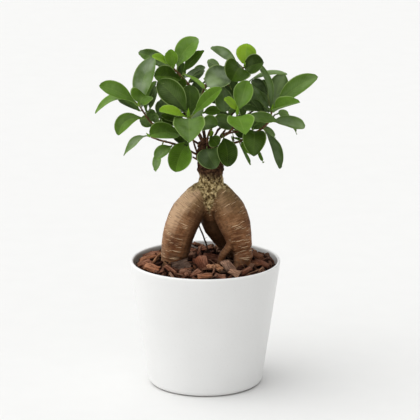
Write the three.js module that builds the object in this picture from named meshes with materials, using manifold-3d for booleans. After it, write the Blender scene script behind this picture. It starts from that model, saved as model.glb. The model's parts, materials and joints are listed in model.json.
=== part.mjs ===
// A ficus ginseng bonsai in its plain white ceramic pot: a swollen three-legged rootstock,
// a grafted crown of thin branches and leathery leaves, and a bed of bark over the soil.
// Millimetres, +Z up. The origin is the centre of the pot's underside, and the plant's
// front, where its two fat legs stand side by side, looks towards -Y.
import * as THREE from "three";
import { mergeVertices } from "three/addons/utils/BufferGeometryUtils.js";
import Module from "manifold-3d";

const wasm = await Module();
wasm.setup();

// The clearance between two pieces that touch.
const GAP = 0.3;

const POT = {
  height: 117,
  rimRadius: 70,
  baseRadius: 53,
  wall: 4.2,
  floor: 7,
  baseRound: 5,
  floorRound: 2,
  sides: 56,
};

// The soil up to its top, and over it the bed of bark, whose top has low waves.
const FILL = {
  soilTop: 98,
  corner: 4,
  barkTop: 111.5,
  rings: [0.95, 0.8, 0.65, 0.5, 0.35, 0.18],
  waveHeight: 1,
  wave: { x: 0.31, y: 0.27, slant: 0.16 },
  sides: 40,
};

// petiole: the stalk's length. fold: how far each half rises from the midrib, in degrees.
// belly: where along the blade it is widest. stations: where along the blade its rings lie.
const LEAF = {
  petiole: 5,
  petioleRadius: 0.65,
  thickness: 1,
  fold: 18,
  belly: 0.56,
  shoulder: 1.15,
  bluntness: 0.7,
  point: 0.4,
  stations: [0, 0.1, 0.24, 0.4, 0.56, 0.72, 0.86, 0.95, 1],
};

const LIMB_SIDES = 22;
const TWIG_SIDES = 8;

// The rootstock. Each limb is a list of [x, y, z, radius] along its middle, from the top down.
const ROOTSTOCK = {
  neck: [
    [5, 3, 166, 13], [5.5, 2, 182, 14], [5.3, 2, 190, 11.8], [5.3, 2, 196, 10.8],
    [5, 2, 203, 12.2], [3.5, 2, 212, 11], [2, 2, 221, 10], [1, 2, 227, 7],
  ],
  leftLeg: [
    [5, 2, 186, 9.5], [-6, 0, 176, 13], [-16, -2, 163, 15.4], [-23, -4, 148, 15],
    [-27, -6, 132, 13.8], [-28.5, -6, 118, 12.3], [-28, -6, 106, 10], [-27, -6, 92, 7],
    [-26, -6, 80, 3],
  ],
  rightLeg: [
    [6, 2, 186, 9.5], [15, 1, 176, 12.5], [22, 0, 163, 15.6], [28, -2, 149, 14.6],
    [31.5, -5, 136, 12], [35, -8, 123, 8.2], [33.5, -10, 112, 7.6], [32, -10, 99, 6.5],
    [31, -10, 84, 3],
  ],
  rearLeg: [
    [6, 6, 180, 10], [6, 10, 165, 11], [6, 13, 151, 10.4], [12, 17, 139, 10],
    [20, 21, 128, 9.5], [27, 24, 116, 8.5], [31, 26, 104, 7], [33, 27, 88, 3],
  ],
  spurRoot: [
    [27, -8, 139, 3.4], [23, -12, 133.5, 2.9], [18, -13, 127.5, 2.4],
    [14.7, -13, 121.5, 2.2], [13.5, -12, 115, 2], [13, -11, 105, 1.4],
  ],
};

const AERIAL_ROOT = [
  [-7, 8, 150, 0.9], [-4, 11, 142, 0.8], [0, 14, 131, 0.8], [3, 17, 118, 0.8], [4, 18, 104, 0.8],
];

// The branches. Each is one grown piece, of one or more stems that fork from each other.
const BRANCHES = {
  leader_stem: {
    stem: [[1, 2, 222, 4.6], [-1, 2, 236, 3.9], [-3.5, 1, 250, 3.4], [-4, 0, 262, 3], [-5, 1, 271, 2.3]],
    top_left: [[-4, 0.5, 264, 2.3], [-11, 0, 277, 2], [-20, -1, 288, 1.7], [-29, -3, 298, 1.2]],
    top_right: [[-4, 1, 264, 2.2], [5, 3, 277, 2], [18, 4, 287, 1.7], [29, 3, 293, 1.5], [36, 1, 298, 1.1]],
    top_back: [[-4, 1, 262, 2.2], [-2, 12, 273, 1.8], [3, 24, 282, 1.5], [6, 34, 290, 1.1]],
  },
  branch_far_left: {
    far_left: [
      [-2, 3, 223, 3], [-14, 0, 232, 2.4], [-27, -2, 237, 2], [-38, -3, 240, 1.8],
      [-47, -4, 245, 1.5], [-54, -5, 254, 1.3], [-60, -6, 264, 1.1],
    ],
  },
  branch_low_left: {
    low_left: [
      [-2, -2, 214, 2.4], [-12, -4, 220, 1.9], [-22, -7, 226, 1.6], [-32, -10, 230, 1.4],
      [-42, -12, 233, 1.2], [-50, -12, 236, 1],
    ],
  },
  branch_front_left: {
    front_left: [[-1, -1, 228, 2.2], [-6, -10, 240, 1.9], [-11, -20, 249, 1.6], [-15, -29, 258, 1.2]],
  },
  branch_front_right: {
    front_right: [
      [4, -1, 223, 2.3], [12, -7, 233, 2], [22, -15, 241, 1.7], [27, -23, 250, 1.5], [29, -28, 260, 1.2],
    ],
  },
  branch_far_right: {
    far_right: [
      [5, 2, 220, 2.9], [18, 0, 226, 2.4], [30, -2, 229, 2.1], [42, -4, 236, 1.9],
      [53, -5, 243, 1.6], [58, -6, 249, 1.4], [61, -6, 259, 1.1],
    ],
  },
  branch_low_front: {
    low_front_left: [[2, -4, 217, 2.2], [2, -10, 223, 1.9], [2, -13, 235, 1.4], [5, -16, 245, 1]],
    low_front_right: [[2, -9.5, 222, 1.8], [10, -12, 229, 1.5], [14, -13, 237, 1.3], [19, -15, 244, 1]],
  },
  branch_back_left: {
    back_left: [[-1, 5, 222, 2.6], [-8, 17, 236, 2.2], [-18, 29, 248, 1.8], [-27, 38, 262, 1.2]],
    back_side_left: [[-9, 17, 237, 1.7], [-24, 22, 243, 1.5], [-38, 26, 252, 1.1]],
  },
  branch_back_right: {
    back_right: [[4, 6, 222, 2.6], [12, 19, 236, 2.2], [24, 31, 247, 1.8], [34, 38, 259, 1.2]],
    back_side_right: [[13, 19, 237, 1.7], [32, 21, 245, 1.5], [48, 23, 256, 1.1]],
  },
};

// The leaves that show most, by the stem that bears them. at: how far along the stem the stalk
// leaves it, from 0 to 1. tip: where the leaf ends. width: its widest. face: the way its upper
// side looks. bow: how far the middle of its midrib lies off the straight line.
const LEAVES = {
  far_left: [
    { at: 1, tip: [-96, -12, 283], width: 19, face: [0, -1, 0.9], bow: [0, 0, 3] },
    { at: 0.93, tip: [-100, -9, 257], width: 14, face: [0, -0.3, 1], bow: [0, 4, 12] },
    { at: 0.9, tip: [-46, 4, 306], width: 20, face: [-0.4, -1, 0.1], bow: [-6, 3, 0] },
    { at: 0.97, tip: [-54, -6, 273], width: 26, face: [-0.25, -1, 0.8], bow: [-2, -5, 2], fold: 26 },
    { at: 0.82, tip: [-45, 12, 283], width: 15, face: [-0.8, -0.7, 0.2], bow: [-3, 0, 0] },
    { at: 0.87, tip: [-80, 9, 269], width: 16, face: [0, -0.6, 1], bow: [0, 0, 0] },
    { at: 0.78, tip: [-79, -15, 238], width: 18, face: [-0.2, -1, 0.7], bow: [-5, -2, 7] },
    { at: 0.7, tip: [-50, 6, 258], width: 9, face: [0, -1, 0.3], bow: [0, 0, 0], petiole: 3 },
    { at: 0.22, tip: [-50, -30, 241], width: 22, face: [0, -0.9, 0.9], bow: [0, -3, 4] },
    { at: 0.15, tip: [-27, -20, 205], width: 24, face: [0.2, -1, 0.5], bow: [-2, -4, 3], fold: 26 },
  ],
  low_left: [
    { at: 1, tip: [-74, -20, 220], width: 13, face: [-0.3, -0.5, 1], bow: [0, 0, 7] },
    { at: 0.5, tip: [-45, -18, 216], width: 15, face: [-0.3, -0.7, 0.9], bow: [0, 0, 2] },
    { at: 0.72, tip: [-46, 4, 200], width: 11, face: [-0.6, -0.7, 0.3], bow: [0, 3, 0] },
  ],
  front_left: [
    { at: 1, tip: [-43, -22, 289], width: 23, face: [0.2, -1, 0.2], bow: [2, 0, 2] },
    { at: 0.84, tip: [-14, -12, 284], width: 19, face: [0, -1, 0.4], bow: [0, 0, 0] },
    { at: 0.92, tip: [15, -34, 285], width: 15, face: [-0.4, -0.8, 0.6], bow: [0, 0, 2] },
    { at: 0.88, tip: [-41, -43, 266], width: 13, face: [0, -0.8, 1], bow: [0, 0, 3] },
    { at: 0.96, tip: [-14, -60, 241], width: 28, face: [0, -0.5, 1], bow: [0, -4, 5], belly: 0.42 },
    { at: 0.5, tip: [11, -24, 249], width: 18, face: [0, -0.8, 0.9], bow: [0, 0, 2], belly: 0.42 },
  ],
  top_left: [
    { at: 0.88, tip: [-6, -6, 325], width: 18, face: [-0.4, -1, 0.2], bow: [-4, 0, 2] },
    { at: 1, tip: [-48, -12, 310], width: 10, face: [0, -0.8, 1], bow: [0, 0, 2], petiole: 3 },
    { at: 0.94, tip: [-31, -8, 316], width: 13, face: [0, -1, 0.2], bow: [-1, -1, 0], petiole: 3 },
    { at: 0.78, tip: [-61, 16, 309], width: 14, face: [0, -0.9, 0.6], bow: [0, 3, 2] },
    { at: 0.6, tip: [-46, -17, 293], width: 21, face: [0, -0.9, 0.7], bow: [0, -3, 2] },
    { at: 0.72, tip: [-1, -3, 314], width: 12, face: [-0.5, -0.9, 0.3], bow: [-2, 0, 1] },
    { at: 0.5, tip: [0, 9, 296], width: 13, face: [0.4, 0.8, 0.5], bow: [0, 0, 2] },
  ],
  top_right: [
    { at: 0.72, tip: [2, -24, 285], width: 24, face: [0, -1, 0.5], bow: [0, -3, 4] },
    { at: 0.45, tip: [18, -12, 259], width: 17, face: [0, -1, 0], bow: [0, -3, 0] },
    { at: 0.95, tip: [5, 6, 315], width: 14, face: [0.3, -0.6, 0.9], bow: [0, 0, 2] },
    { at: 1, tip: [38, 5, 319], width: 19, face: [0, -1, 0.1], bow: [0, 0, 0], petiole: 3 },
    { at: 0.85, tip: [53, -9, 304], width: 20, face: [0, -1, 0.6], bow: [0, -1, 1], petiole: 2 },
    { at: 0.9, tip: [24, -20, 289], width: 27, face: [0.4, -0.8, 0.8], bow: [1, -3, 6], petiole: 2 },
  ],
  front_right: [
    { at: 1, tip: [38, -22, 290], width: 19, face: [-0.2, -1, 0.2], bow: [0, 0, 0] },
    { at: 0.95, tip: [36, -58, 248], width: 26, face: [0, -0.5, 1], bow: [0, -3, 5], belly: 0.42 },
    { at: 0.86, tip: [64, -22, 253], width: 14, face: [0, -0.7, 1], bow: [0, 0, 2] },
  ],
  far_right: [
    { at: 1, tip: [102, -9, 291], width: 18, face: [-0.3, -1, 0.6], bow: [-2, 2, 3] },
    { at: 0.92, tip: [71, 14, 290], width: 19, face: [-0.1, -1, 0.3], bow: [0, 1, 0] },
    { at: 0.86, tip: [44, 4, 305], width: 14, face: [1, -0.5, 0.4], bow: [6, -3, 3] },
    { at: 0.95, tip: [86, -13, 268], width: 22, face: [0, -0.4, 1], bow: [-4, -3, 1], fold: 38, belly: 0.4 },
    { at: 0.8, tip: [90, -17, 245], width: 16, face: [0, -0.7, 1], bow: [0, 0, 5] },
    { at: 0.55, tip: [44, -26, 221], width: 23, face: [0, -1, 0.4], bow: [0, -6, 10] },
    { at: 0.66, tip: [68, -20, 208], width: 14, face: [0.7, -0.7, 0.4], bow: [2, -2, 3] },
    { at: 0.35, tip: [41, -14, 210], width: 9, face: [0.9, -0.3, 0.4], bow: [-1, 0, 1] },
  ],
  low_front_left: [
    { at: 0.45, tip: [10, -26, 210], width: 24, face: [0, -1, 0.3], bow: [-3, -2, 3], belly: 0.46 },
    { at: 0.8, tip: [12, -20, 230], width: 13, face: [0, -1, 0.2], bow: [0, -1, 0], petiole: 3 },
  ],
  low_front_right: [
    { at: 0.75, tip: [20, -29, 212], width: 20, face: [0.1, -1, 0.2], bow: [2, -3, 2], belly: 0.5 },
  ],
};

const FINISH = {
  glaze: new THREE.MeshStandardMaterial({ color: 0xf1f0ec, roughness: 0.3, metalness: 0 }),
  soil: new THREE.MeshStandardMaterial({ color: 0x2b1d15, roughness: 1, metalness: 0 }),
  bark: new THREE.MeshStandardMaterial({ color: 0x5e3324, roughness: 0.9, metalness: 0 }),
  rootSkin: new THREE.MeshStandardMaterial({ color: 0x8a6038, roughness: 0.65, metalness: 0 }),
  twig: new THREE.MeshStandardMaterial({ color: 0x5d4029, roughness: 0.8, metalness: 0 }),
  leaf: new THREE.MeshStandardMaterial({ color: 0x3f7029, roughness: 0.4, metalness: 0 }),
};

// A closed geometry as a solid that can be joined and cut.
function solidOf(geometry) {
  const bare = geometry.clone();
  bare.deleteAttribute("normal");
  bare.deleteAttribute("uv");
  const merged = mergeVertices(bare, 1e-4);
  return new wasm.Manifold(
    new wasm.Mesh({
      numProp: 3,
      vertProperties: new Float32Array(merged.attributes.position.array),
      triVerts: new Uint32Array(merged.index.array),
    }),
  );
}

function geometryOf(solid) {
  const mesh = solid.getMesh();
  return new THREE.BufferGeometry()
    .setAttribute("position", new THREE.BufferAttribute(mesh.vertProperties, 3))
    .setIndex(new THREE.BufferAttribute(mesh.triVerts, 1));
}

function namedMesh(name, geometry, material) {
  const mesh = new THREE.Mesh(geometry, material);
  mesh.name = name;
  return mesh;
}

// A profile of [radius, height] points turned round the Z axis.
function revolved(profile, sides) {
  const points = profile.map(([radius, height]) => new THREE.Vector2(radius, height));
  return new THREE.LatheGeometry(points, sides).rotateX(Math.PI / 2);
}

// The points of a quarter turn about [radius, height], from one angle to another, in degrees.
function arc([radius, height], size, from, to, steps) {
  return Array.from({ length: steps + 1 }, (_, i) => {
    const angle = THREE.MathUtils.degToRad(from + ((to - from) * i) / steps);
    return [radius + size * Math.cos(angle), height + size * Math.sin(angle)];
  });
}

const SLOPE = (POT.rimRadius - POT.baseRadius) / POT.height;
const outerRadius = (height) => POT.baseRadius + SLOPE * height;
const innerRadius = (height) => outerRadius(height) - POT.wall;

function potGeometry() {
  const { height, wall, floor, baseRound, floorRound } = POT;
  const lip = wall / 2;
  return revolved(
    [
      [0, 0],
      ...arc([outerRadius(baseRound) - baseRound, baseRound], baseRound, -90, 0, 4),
      ...arc([outerRadius(height - lip) - lip, height - lip], lip, 0, 180, 6),
      ...arc([innerRadius(floor + floorRound) - floorRound, floor + floorRound], floorRound, 0, -90, 2),
      [0, floor],
    ],
    POT.sides,
  );
}

// Rings that carry a unit cylinder along a path: place(t, x, z) gives the point for each vertex.
function bent(sides, steps, place) {
  const geometry = new THREE.CylinderGeometry(1, 1, 1, sides, steps);
  const position = geometry.attributes.position;
  for (let i = 0; i < position.count; i++) {
    const point = place(position.getY(i) + 0.5, position.getX(i), position.getZ(i));
    position.setXYZ(i, point.x, point.y, point.z);
  }
  return geometry;
}

// The path of a limb and its thickness, from its [x, y, z, radius] points.
function limbPath(points) {
  const curve = new THREE.CatmullRomCurve3(points.map(([x, y, z]) => new THREE.Vector3(x, y, z)));
  const radius = (t) => {
    const place = t * (points.length - 1);
    const i = Math.min(Math.floor(place), points.length - 2);
    const ease = THREE.MathUtils.smoothstep(place - i, 0, 1);
    const mix = (ease + (place - i)) / 2;
    return THREE.MathUtils.lerp(points[i][3], points[i + 1][3], mix);
  };
  return { curve, radius };
}

// A limb with round sections. grown adds to its radius, to make the room it needs in a neighbour.
function limb(points, sides, grown = 0) {
  const { curve, radius } = limbPath(points);
  const steps = (points.length - 1) * 2;
  const side = new THREE.Vector3();
  const frames = Array.from({ length: steps + 1 }, (_, i) => {
    const tangent = curve.getTangent(i / steps);
    if (i === 0) side.set(0, 1, 0.1);
    side.addScaledVector(tangent, -side.dot(tangent)).normalize();
    return { side: side.clone(), across: new THREE.Vector3().crossVectors(side, tangent) };
  });
  return solidOf(
    bent(sides, steps, (t, x, z) => {
      const frame = frames[Math.round(t * steps)];
      const size = radius(t) + grown;
      return curve
        .getPoint(t)
        .addScaledVector(frame.side, x * size)
        .addScaledVector(frame.across, z * size);
    }),
  );
}

function joined(limbs, sides, grown = 0) {
  return limbs.map((points) => limb(points, sides, grown)).reduce((a, b) => a.add(b));
}

// Half the width of a leaf's blade at t along it, as a share of its widest.
function outline(t, belly) {
  if (t < belly) return Math.sin((Math.PI / 2) * (t / belly)) ** LEAF.shoulder;
  return Math.cos((Math.PI / 2) * ((t - belly) / (1 - belly))) ** LEAF.bluntness;
}

// One leaf, built from where its stalk leaves the stem's middle. The stalk is narrow and the
// blade is folded up along its midrib, and each ring has four corners: two margins, top, bottom.
function leafSolid(start, { tip, width, face, bow, petiole, fold, belly }) {
  const end = new THREE.Vector3(...tip).sub(start);
  const middle = new THREE.Vector3(...bow).multiplyScalar(2).addScaledVector(end, 0.5);
  const midrib = new THREE.QuadraticBezierCurve3(new THREE.Vector3(), middle, end);
  const stalk = petiole / midrib.getLength();
  const blade = LEAF.stations.map((t) => stalk + (1 - stalk) * t);
  const stations = [0, stalk / 2, ...blade];
  return solidOf(
    bent(4, stations.length - 1, (t, x, z) => {
      const at = stations[Math.round(t * (stations.length - 1))];
      const tangent = midrib.getTangent(at);
      const up = new THREE.Vector3(...face);
      up.addScaledVector(tangent, -up.dot(tangent)).normalize();
      const across = new THREE.Vector3().crossVectors(tangent, up);
      const narrow = LEAF.petioleRadius * (at < 1 ? 1 : LEAF.point);
      const wide = (width / 2) * outline(Math.max(0, (at - stalk) / (1 - stalk)), belly);
      const half = Math.max(wide, narrow);
      const inBlade = half > LEAF.petioleRadius + LEAF.point;
      const rise = inBlade ? THREE.MathUtils.degToRad(fold) : 0;
      const thick = inBlade ? LEAF.thickness / 2 : narrow;
      return midrib
        .getPoint(at)
        .addScaledVector(across, x * half * Math.cos(rise))
        .addScaledVector(up, z * thick + Math.abs(x) * half * Math.sin(rise));
    }),
  );
}

const object = new THREE.Group();
const planter = new THREE.Group();
const plant = new THREE.Group();
const crown = new THREE.Group();
object.add(planter, plant);
plant.add(crown);

// The pot and what fills it
const legs = [ROOTSTOCK.leftLeg, ROOTSTOCK.rightLeg, ROOTSTOCK.rearLeg];
const aerialRoom = limb(AERIAL_ROOT, TWIG_SIDES, GAP);
const rootRoom = joined([...legs, ROOTSTOCK.spurRoot], LIMB_SIDES, GAP).add(aerialRoom);

function soilGeometry() {
  const bottom = POT.floor + GAP;
  const corner = bottom + FILL.corner;
  return revolved(
    [
      [0, bottom],
      [innerRadius(bottom) - FILL.corner, bottom],
      [innerRadius(corner) - GAP, corner],
      [innerRadius(FILL.soilTop) - GAP, FILL.soilTop],
      [0, FILL.soilTop],
    ],
    FILL.sides,
  );
}

// The bed of bark chips as one layer, waved but level at the pot's wall.
function barkGeometry() {
  const bottom = FILL.soilTop + GAP;
  const edge = innerRadius(FILL.barkTop) - GAP;
  const geometry = revolved(
    [
      [0, bottom],
      [innerRadius(bottom) - GAP, bottom],
      [edge, FILL.barkTop],
      ...FILL.rings.map((share) => [edge * share, FILL.barkTop]),
      [0, FILL.barkTop],
    ],
    FILL.sides,
  );
  const position = geometry.attributes.position;
  for (let i = 0; i < position.count; i++) {
    const [x, y, z] = [position.getX(i), position.getY(i), position.getZ(i)];
    const inside = 1 - Math.hypot(x, y) / edge;
    if (z < FILL.barkTop - GAP || inside < 0.01) continue;
    const wave = Math.sin(FILL.wave.x * x) * Math.cos(FILL.wave.y * y) + Math.sin(FILL.wave.slant * (x + y));
    position.setZ(i, z + FILL.waveHeight * wave);
  }
  return geometry;
}

planter.add(
  namedMesh("pot", potGeometry(), FINISH.glaze),
  namedMesh("potting_soil", geometryOf(solidOf(soilGeometry()).subtract(rootRoom)), FINISH.soil),
  namedMesh("bark_mulch", geometryOf(solidOf(barkGeometry()).subtract(rootRoom)), FINISH.bark),
);

// The rootstock, with its neck, legs and spur grown as one
const rootstock = joined(Object.values(ROOTSTOCK), LIMB_SIDES);
const rootstockRoom = joined([ROOTSTOCK.neck, ...legs], LIMB_SIDES, GAP);
const aerialRoot = limb(AERIAL_ROOT, TWIG_SIDES);
plant.add(
  namedMesh("trunk", geometryOf(rootstock), FINISH.rootSkin),
  namedMesh("aerial_root", geometryOf(aerialRoot.subtract(rootstockRoom)), FINISH.rootSkin),
);

// The branches, each cut clear of the neck and of the branches before it
const stems = Object.assign({}, ...Object.values(BRANCHES));
let woodRoom = rootstockRoom;
for (const [name, forks] of Object.entries(BRANCHES)) {
  const limbs = Object.values(forks);
  crown.add(namedMesh(name, geometryOf(joined(limbs, TWIG_SIDES).subtract(woodRoom)), FINISH.twig));
  woodRoom = woodRoom.add(joined(limbs, TWIG_SIDES, GAP));
}

// The leaves, each seated on its stem
for (const [stem, leaves] of Object.entries(LEAVES)) {
  const room = limb(stems[stem], TWIG_SIDES, GAP);
  leaves.forEach((given, i) => {
    const leaf = { ...LEAF, ...given };
    const start = limbPath(stems[stem]).curve.getPoint(leaf.at);
    const solid = leafSolid(start, leaf).subtract(room.translate(start.clone().negate().toArray()));
    const mesh = namedMesh(`leaf_${stem}_${i + 1}`, geometryOf(solid), FINISH.leaf);
    mesh.position.copy(start);
    crown.add(mesh);
  });
}

export default object;
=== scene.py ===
# %% [markdown]
# A ficus ginseng bonsai in a white pot. The real thing is a young fig whose swollen roots were
# lifted out of the soil, so that they stand like legs, with thin leafy branches grafted on top.
# The CAD frame already holds every main piece at its real place and size. This script gives each
# one the skin, the small shapes and the finish of the real one, from the pot up to the leaves.

import json
import math
import random

import bmesh
import bpy
import numpy as np
from mathutils import Matrix, Vector, noise
from mathutils.bvhtree import BVHTree

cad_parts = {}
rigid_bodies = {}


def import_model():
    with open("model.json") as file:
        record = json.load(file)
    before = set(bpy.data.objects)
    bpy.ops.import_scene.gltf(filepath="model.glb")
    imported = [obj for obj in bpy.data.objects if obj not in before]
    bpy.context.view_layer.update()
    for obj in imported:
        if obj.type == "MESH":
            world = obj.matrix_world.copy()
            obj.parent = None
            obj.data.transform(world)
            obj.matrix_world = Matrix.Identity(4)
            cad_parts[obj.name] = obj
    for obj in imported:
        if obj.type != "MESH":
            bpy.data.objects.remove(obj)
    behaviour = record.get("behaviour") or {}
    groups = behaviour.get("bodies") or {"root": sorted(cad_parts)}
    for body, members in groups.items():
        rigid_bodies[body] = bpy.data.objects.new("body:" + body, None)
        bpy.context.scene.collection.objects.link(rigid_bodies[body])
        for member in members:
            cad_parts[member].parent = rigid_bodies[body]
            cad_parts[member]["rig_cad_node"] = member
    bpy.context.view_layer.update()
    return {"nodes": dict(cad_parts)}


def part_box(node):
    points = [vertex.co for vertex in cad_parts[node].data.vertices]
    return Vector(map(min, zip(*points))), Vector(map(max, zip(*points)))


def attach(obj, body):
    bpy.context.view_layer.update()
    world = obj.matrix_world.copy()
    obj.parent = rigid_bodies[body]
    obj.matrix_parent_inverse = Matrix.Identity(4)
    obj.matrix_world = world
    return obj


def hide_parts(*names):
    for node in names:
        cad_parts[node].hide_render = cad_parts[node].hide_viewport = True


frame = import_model()
MM = 0.001

# %% [markdown]
# The camera stands 2 m in front of the pot, a little above the crown, and looks 14 degrees down,
# with a long lens. That is what the ellipse of the pot's rim and the slope of its sides ask for.
# The floor is one pale sheet that runs on behind the plant until it fills the picture.

# %% Camera and floor
CAMERA_PLACE = Vector((4.4, -2000, 666.6)) * MM
CAMERA_DOWN = 14.10
LENS = 191.3
SENSOR = 36

camera = bpy.data.objects.new("camera", bpy.data.cameras.new("camera"))
bpy.context.scene.collection.objects.link(camera)
camera.location = CAMERA_PLACE
camera.rotation_euler = (math.radians(90 - CAMERA_DOWN), 0, 0)
camera.data.lens = LENS
camera.data.sensor_width = SENSOR
bpy.context.scene.camera = camera
bpy.context.scene.view_settings.view_transform = "Standard"


def new_object(name, points, faces, material=None, smooth=True):
    """A mesh object at the origin, linked to the scene."""
    mesh = bpy.data.meshes.new(name)
    mesh.from_pydata([tuple(p) for p in points], [], [tuple(f) for f in faces])
    mesh.polygons.foreach_set("use_smooth", [smooth] * len(mesh.polygons))
    made = bpy.data.objects.new(name, mesh)
    bpy.context.scene.collection.objects.link(made)
    if material:
        mesh.materials.append(material)
    return made


def dress(piece, material):
    """Gives a piece one finish in place of any that it has."""
    piece.data.materials.clear()
    piece.data.materials.append(material)


FLOOR_HALF = 9.0
FLOOR_DROP = 0.2 * MM
corners = [(-1, -1), (1, -1), (1, 1), (-1, 1)]
floor_points = [(x * FLOOR_HALF, y * FLOOR_HALF, -FLOOR_DROP) for x, y in corners]
floor = new_object("floor", floor_points, [(0, 1, 2, 3)])
print("camera and floor made")

# %% [markdown]
# A node tree is easier to read as sums than as boxes and wires. Value wraps one socket, so that
# Python's own operators add the Math nodes. NodeTree adds any other node from its type, its
# settings and its inputs, and does it for materials and for Geometry Nodes alike.


# %% Node helpers
class Value:
    """One output of a node. Sums with it add Math nodes to its tree."""

    def __init__(self, tree, socket):
        self.tree = tree
        self.socket = socket

    def __add__(self, other):
        return self.tree.math("ADD", self, other)

    def __sub__(self, other):
        return self.tree.math("SUBTRACT", self, other)

    def __rsub__(self, other):
        return self.tree.math("SUBTRACT", other, self)

    def __mul__(self, other):
        return self.tree.math("MULTIPLY", self, other)

    def __pow__(self, other):
        return self.tree.math("POWER", self, other)

    def __abs__(self):
        return self.tree.math("ABSOLUTE", self, 0)


class NodeTree:
    """Adds nodes to a tree, with their settings first and then their inputs."""

    def __init__(self, tree):
        self.tree = tree

    def node(self, kind, settings=None, inputs=None, out=0):
        made = self.tree.nodes.new(kind)
        for key, setting in (settings or {}).items():
            if key == "stops":
                self.set_stops(made.color_ramp, setting)
            else:
                setattr(made, key, setting)
        for key, given in (inputs or {}).items():
            self.connect(given, made.inputs[key])
        return Value(self, made.outputs[out])

    def connect(self, given, socket):
        if isinstance(given, Value):
            self.tree.links.new(given.socket, socket)
        elif given is not None:
            socket.default_value = given

    def set_stops(self, ramp, stops):
        for place, colour in stops[2:]:
            ramp.elements.new(place)
        for element, (place, colour) in zip(ramp.elements, sorted(stops, key=lambda stop: stop[0])):
            element.position = place
            element.color = (*colour, 1)

    def math(self, operation, a, b):
        return self.node("ShaderNodeMath", {"operation": operation}, {0: a, 1: b})

    def vector(self, operation, a, b):
        return self.node("ShaderNodeVectorMath", {"operation": operation}, {0: a, 1: b})

    def noise(self, place, scale, detail=3.0, roughness=0.55):
        given = {"Vector": place, "Scale": scale, "Detail": detail, "Roughness": roughness}
        return self.node("ShaderNodeTexNoise", None, given)

    def between(self, value, low, high, to_low=0.0, to_high=1.0):
        """A smooth step of value from low to high."""
        given = {"Value": value, 1: low, 2: high, 3: to_low, 4: to_high}
        return self.node("ShaderNodeMapRange", {"interpolation_type": "SMOOTHSTEP"}, given)

    def mix(self, share, a, b):
        """Colour a, changed towards colour b by share."""
        a, b = [(*c, 1) if isinstance(c, tuple) else c for c in (a, b)]
        return self.node("ShaderNodeMix", {"data_type": "RGBA"}, {0: share, 6: a, 7: b}, out=2)

    def coats(self, colour, *coats):
        """Lays more colours over a first one, each with its share."""
        for share, over in coats:
            colour = self.mix(share, colour, over)
        return colour

    def ramp(self, value, stops):
        return self.node("ShaderNodeValToRGB", {"stops": stops}, {"Fac": value})

    def parts(self, vector):
        """The three numbers of a vector."""
        return [self.node("ShaderNodeSeparateXYZ", None, {0: vector}, out=axis) for axis in range(3)]

    def combine(self, x, y=0.0, z=0.0):
        return self.node("ShaderNodeCombineXYZ", None, {0: x, 1: y, 2: z})


class Finish(NodeTree):
    """A material with one Principled shader. even holds what is the same all over it."""

    def __init__(self, name, even):
        self.material = bpy.data.materials.new(name)
        self.material.use_nodes = True
        super().__init__(self.material.node_tree)
        self.shader = self.tree.nodes["Principled BSDF"]
        for key, given in even.items():
            self.shader.inputs[key].default_value = given
        self.place = self.node("ShaderNodeTexCoord", out="Object")

    def attribute(self, name, out="Fac"):
        return self.node("ShaderNodeAttribute", {"attribute_name": name}, out=out)

    def stretched(self, vector, x, y, z):
        return self.vector("MULTIPLY", vector, (x, y, z))

    def dashes(self, place, along, over):
        """Lens-shaped dashes, one in each cell: how far from its middle, and its own number."""
        cells = {"Vector": self.stretched(place, along, over, 1), "Scale": 1.0}
        flat = {"voronoi_dimensions": "2D"}
        distance = self.node("ShaderNodeTexVoronoi", flat, cells)
        own = self.parts(self.node("ShaderNodeTexVoronoi", flat, cells, out=1))
        return distance * (own[1] * 0.9 + 0.7), own[0]

    def bumps(self, *layers):
        """Bump layers, each a height from 0 to 1 and how deep it is in metres."""
        normal = None
        for height, depth in layers:
            given = {"Height": height, "Distance": depth, "Normal": normal}
            normal = self.node("ShaderNodeBump", None, given)
        self.connect(normal, self.shader.inputs["Normal"])

    def paint(self, colour, roughness):
        self.connect(colour, self.shader.inputs["Base Color"])
        self.connect(roughness, self.shader.inputs["Roughness"])
        return self.material


print("node helpers ready")

# %% [markdown]
# Soft studio light: a surround that is brighter overhead and on the left, and one wide sun from the
# upper left, like a large soft box far away. Together they make the pot's left side lighter than
# its right one and lay a faint shadow on the right. A sun lights the whole floor alike, where a
# lamp nearby would fade across it. The camera itself sees a plain backdrop of the floor's colour,
# so that low views show no edge where the floor ends.

# %% Light
HORIZON = 0.46
OVERHEAD = 0.625
LEFT_OVER_RIGHT = 0.42
LEFT_GLOW = 0.8
GLOW_EDGE, GLOW_FULL = -0.2, -0.95
BACKDROP = (0.92, 0.92, 0.91)
SUN_FROM = Vector((-0.24, -0.1, 0.95))
SUN_STRENGTH = 0.66
SUN_WIDTH = 50

world = bpy.data.worlds.new("surround")
bpy.context.scene.world = world
world.use_nodes = True
around = NodeTree(world.node_tree)
looking = around.node("ShaderNodeTexCoord", out="Generated")
sideways, _, upwards = around.parts(looking)
brighter_above = around.math("MAXIMUM", upwards, 0) * OVERHEAD + HORIZON
glow = around.between(sideways, GLOW_EDGE, GLOW_FULL) * LEFT_GLOW
surround = brighter_above * (1 - sideways * LEFT_OVER_RIGHT + glow)
seen = around.node("ShaderNodeLightPath", out="Is Camera Ray")
surround = around.mix(seen, surround, BACKDROP)
around.connect(surround, world.node_tree.nodes["Background"].inputs["Color"])
sun = bpy.data.objects.new("sun", bpy.data.lights.new("sun", "SUN"))
bpy.context.scene.collection.objects.link(sun)
sun.data.energy = SUN_STRENGTH
sun.data.angle = math.radians(SUN_WIDTH)
sun.rotation_euler = SUN_FROM.to_track_quat("Z", "Y").to_euler()
print("light from a surround and a sun")

# %% [markdown]
# The floor is a matt, nearly white sheet of studio paper. It gets a faint grain so that it isn't
# a flat patch in the other views.

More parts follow.
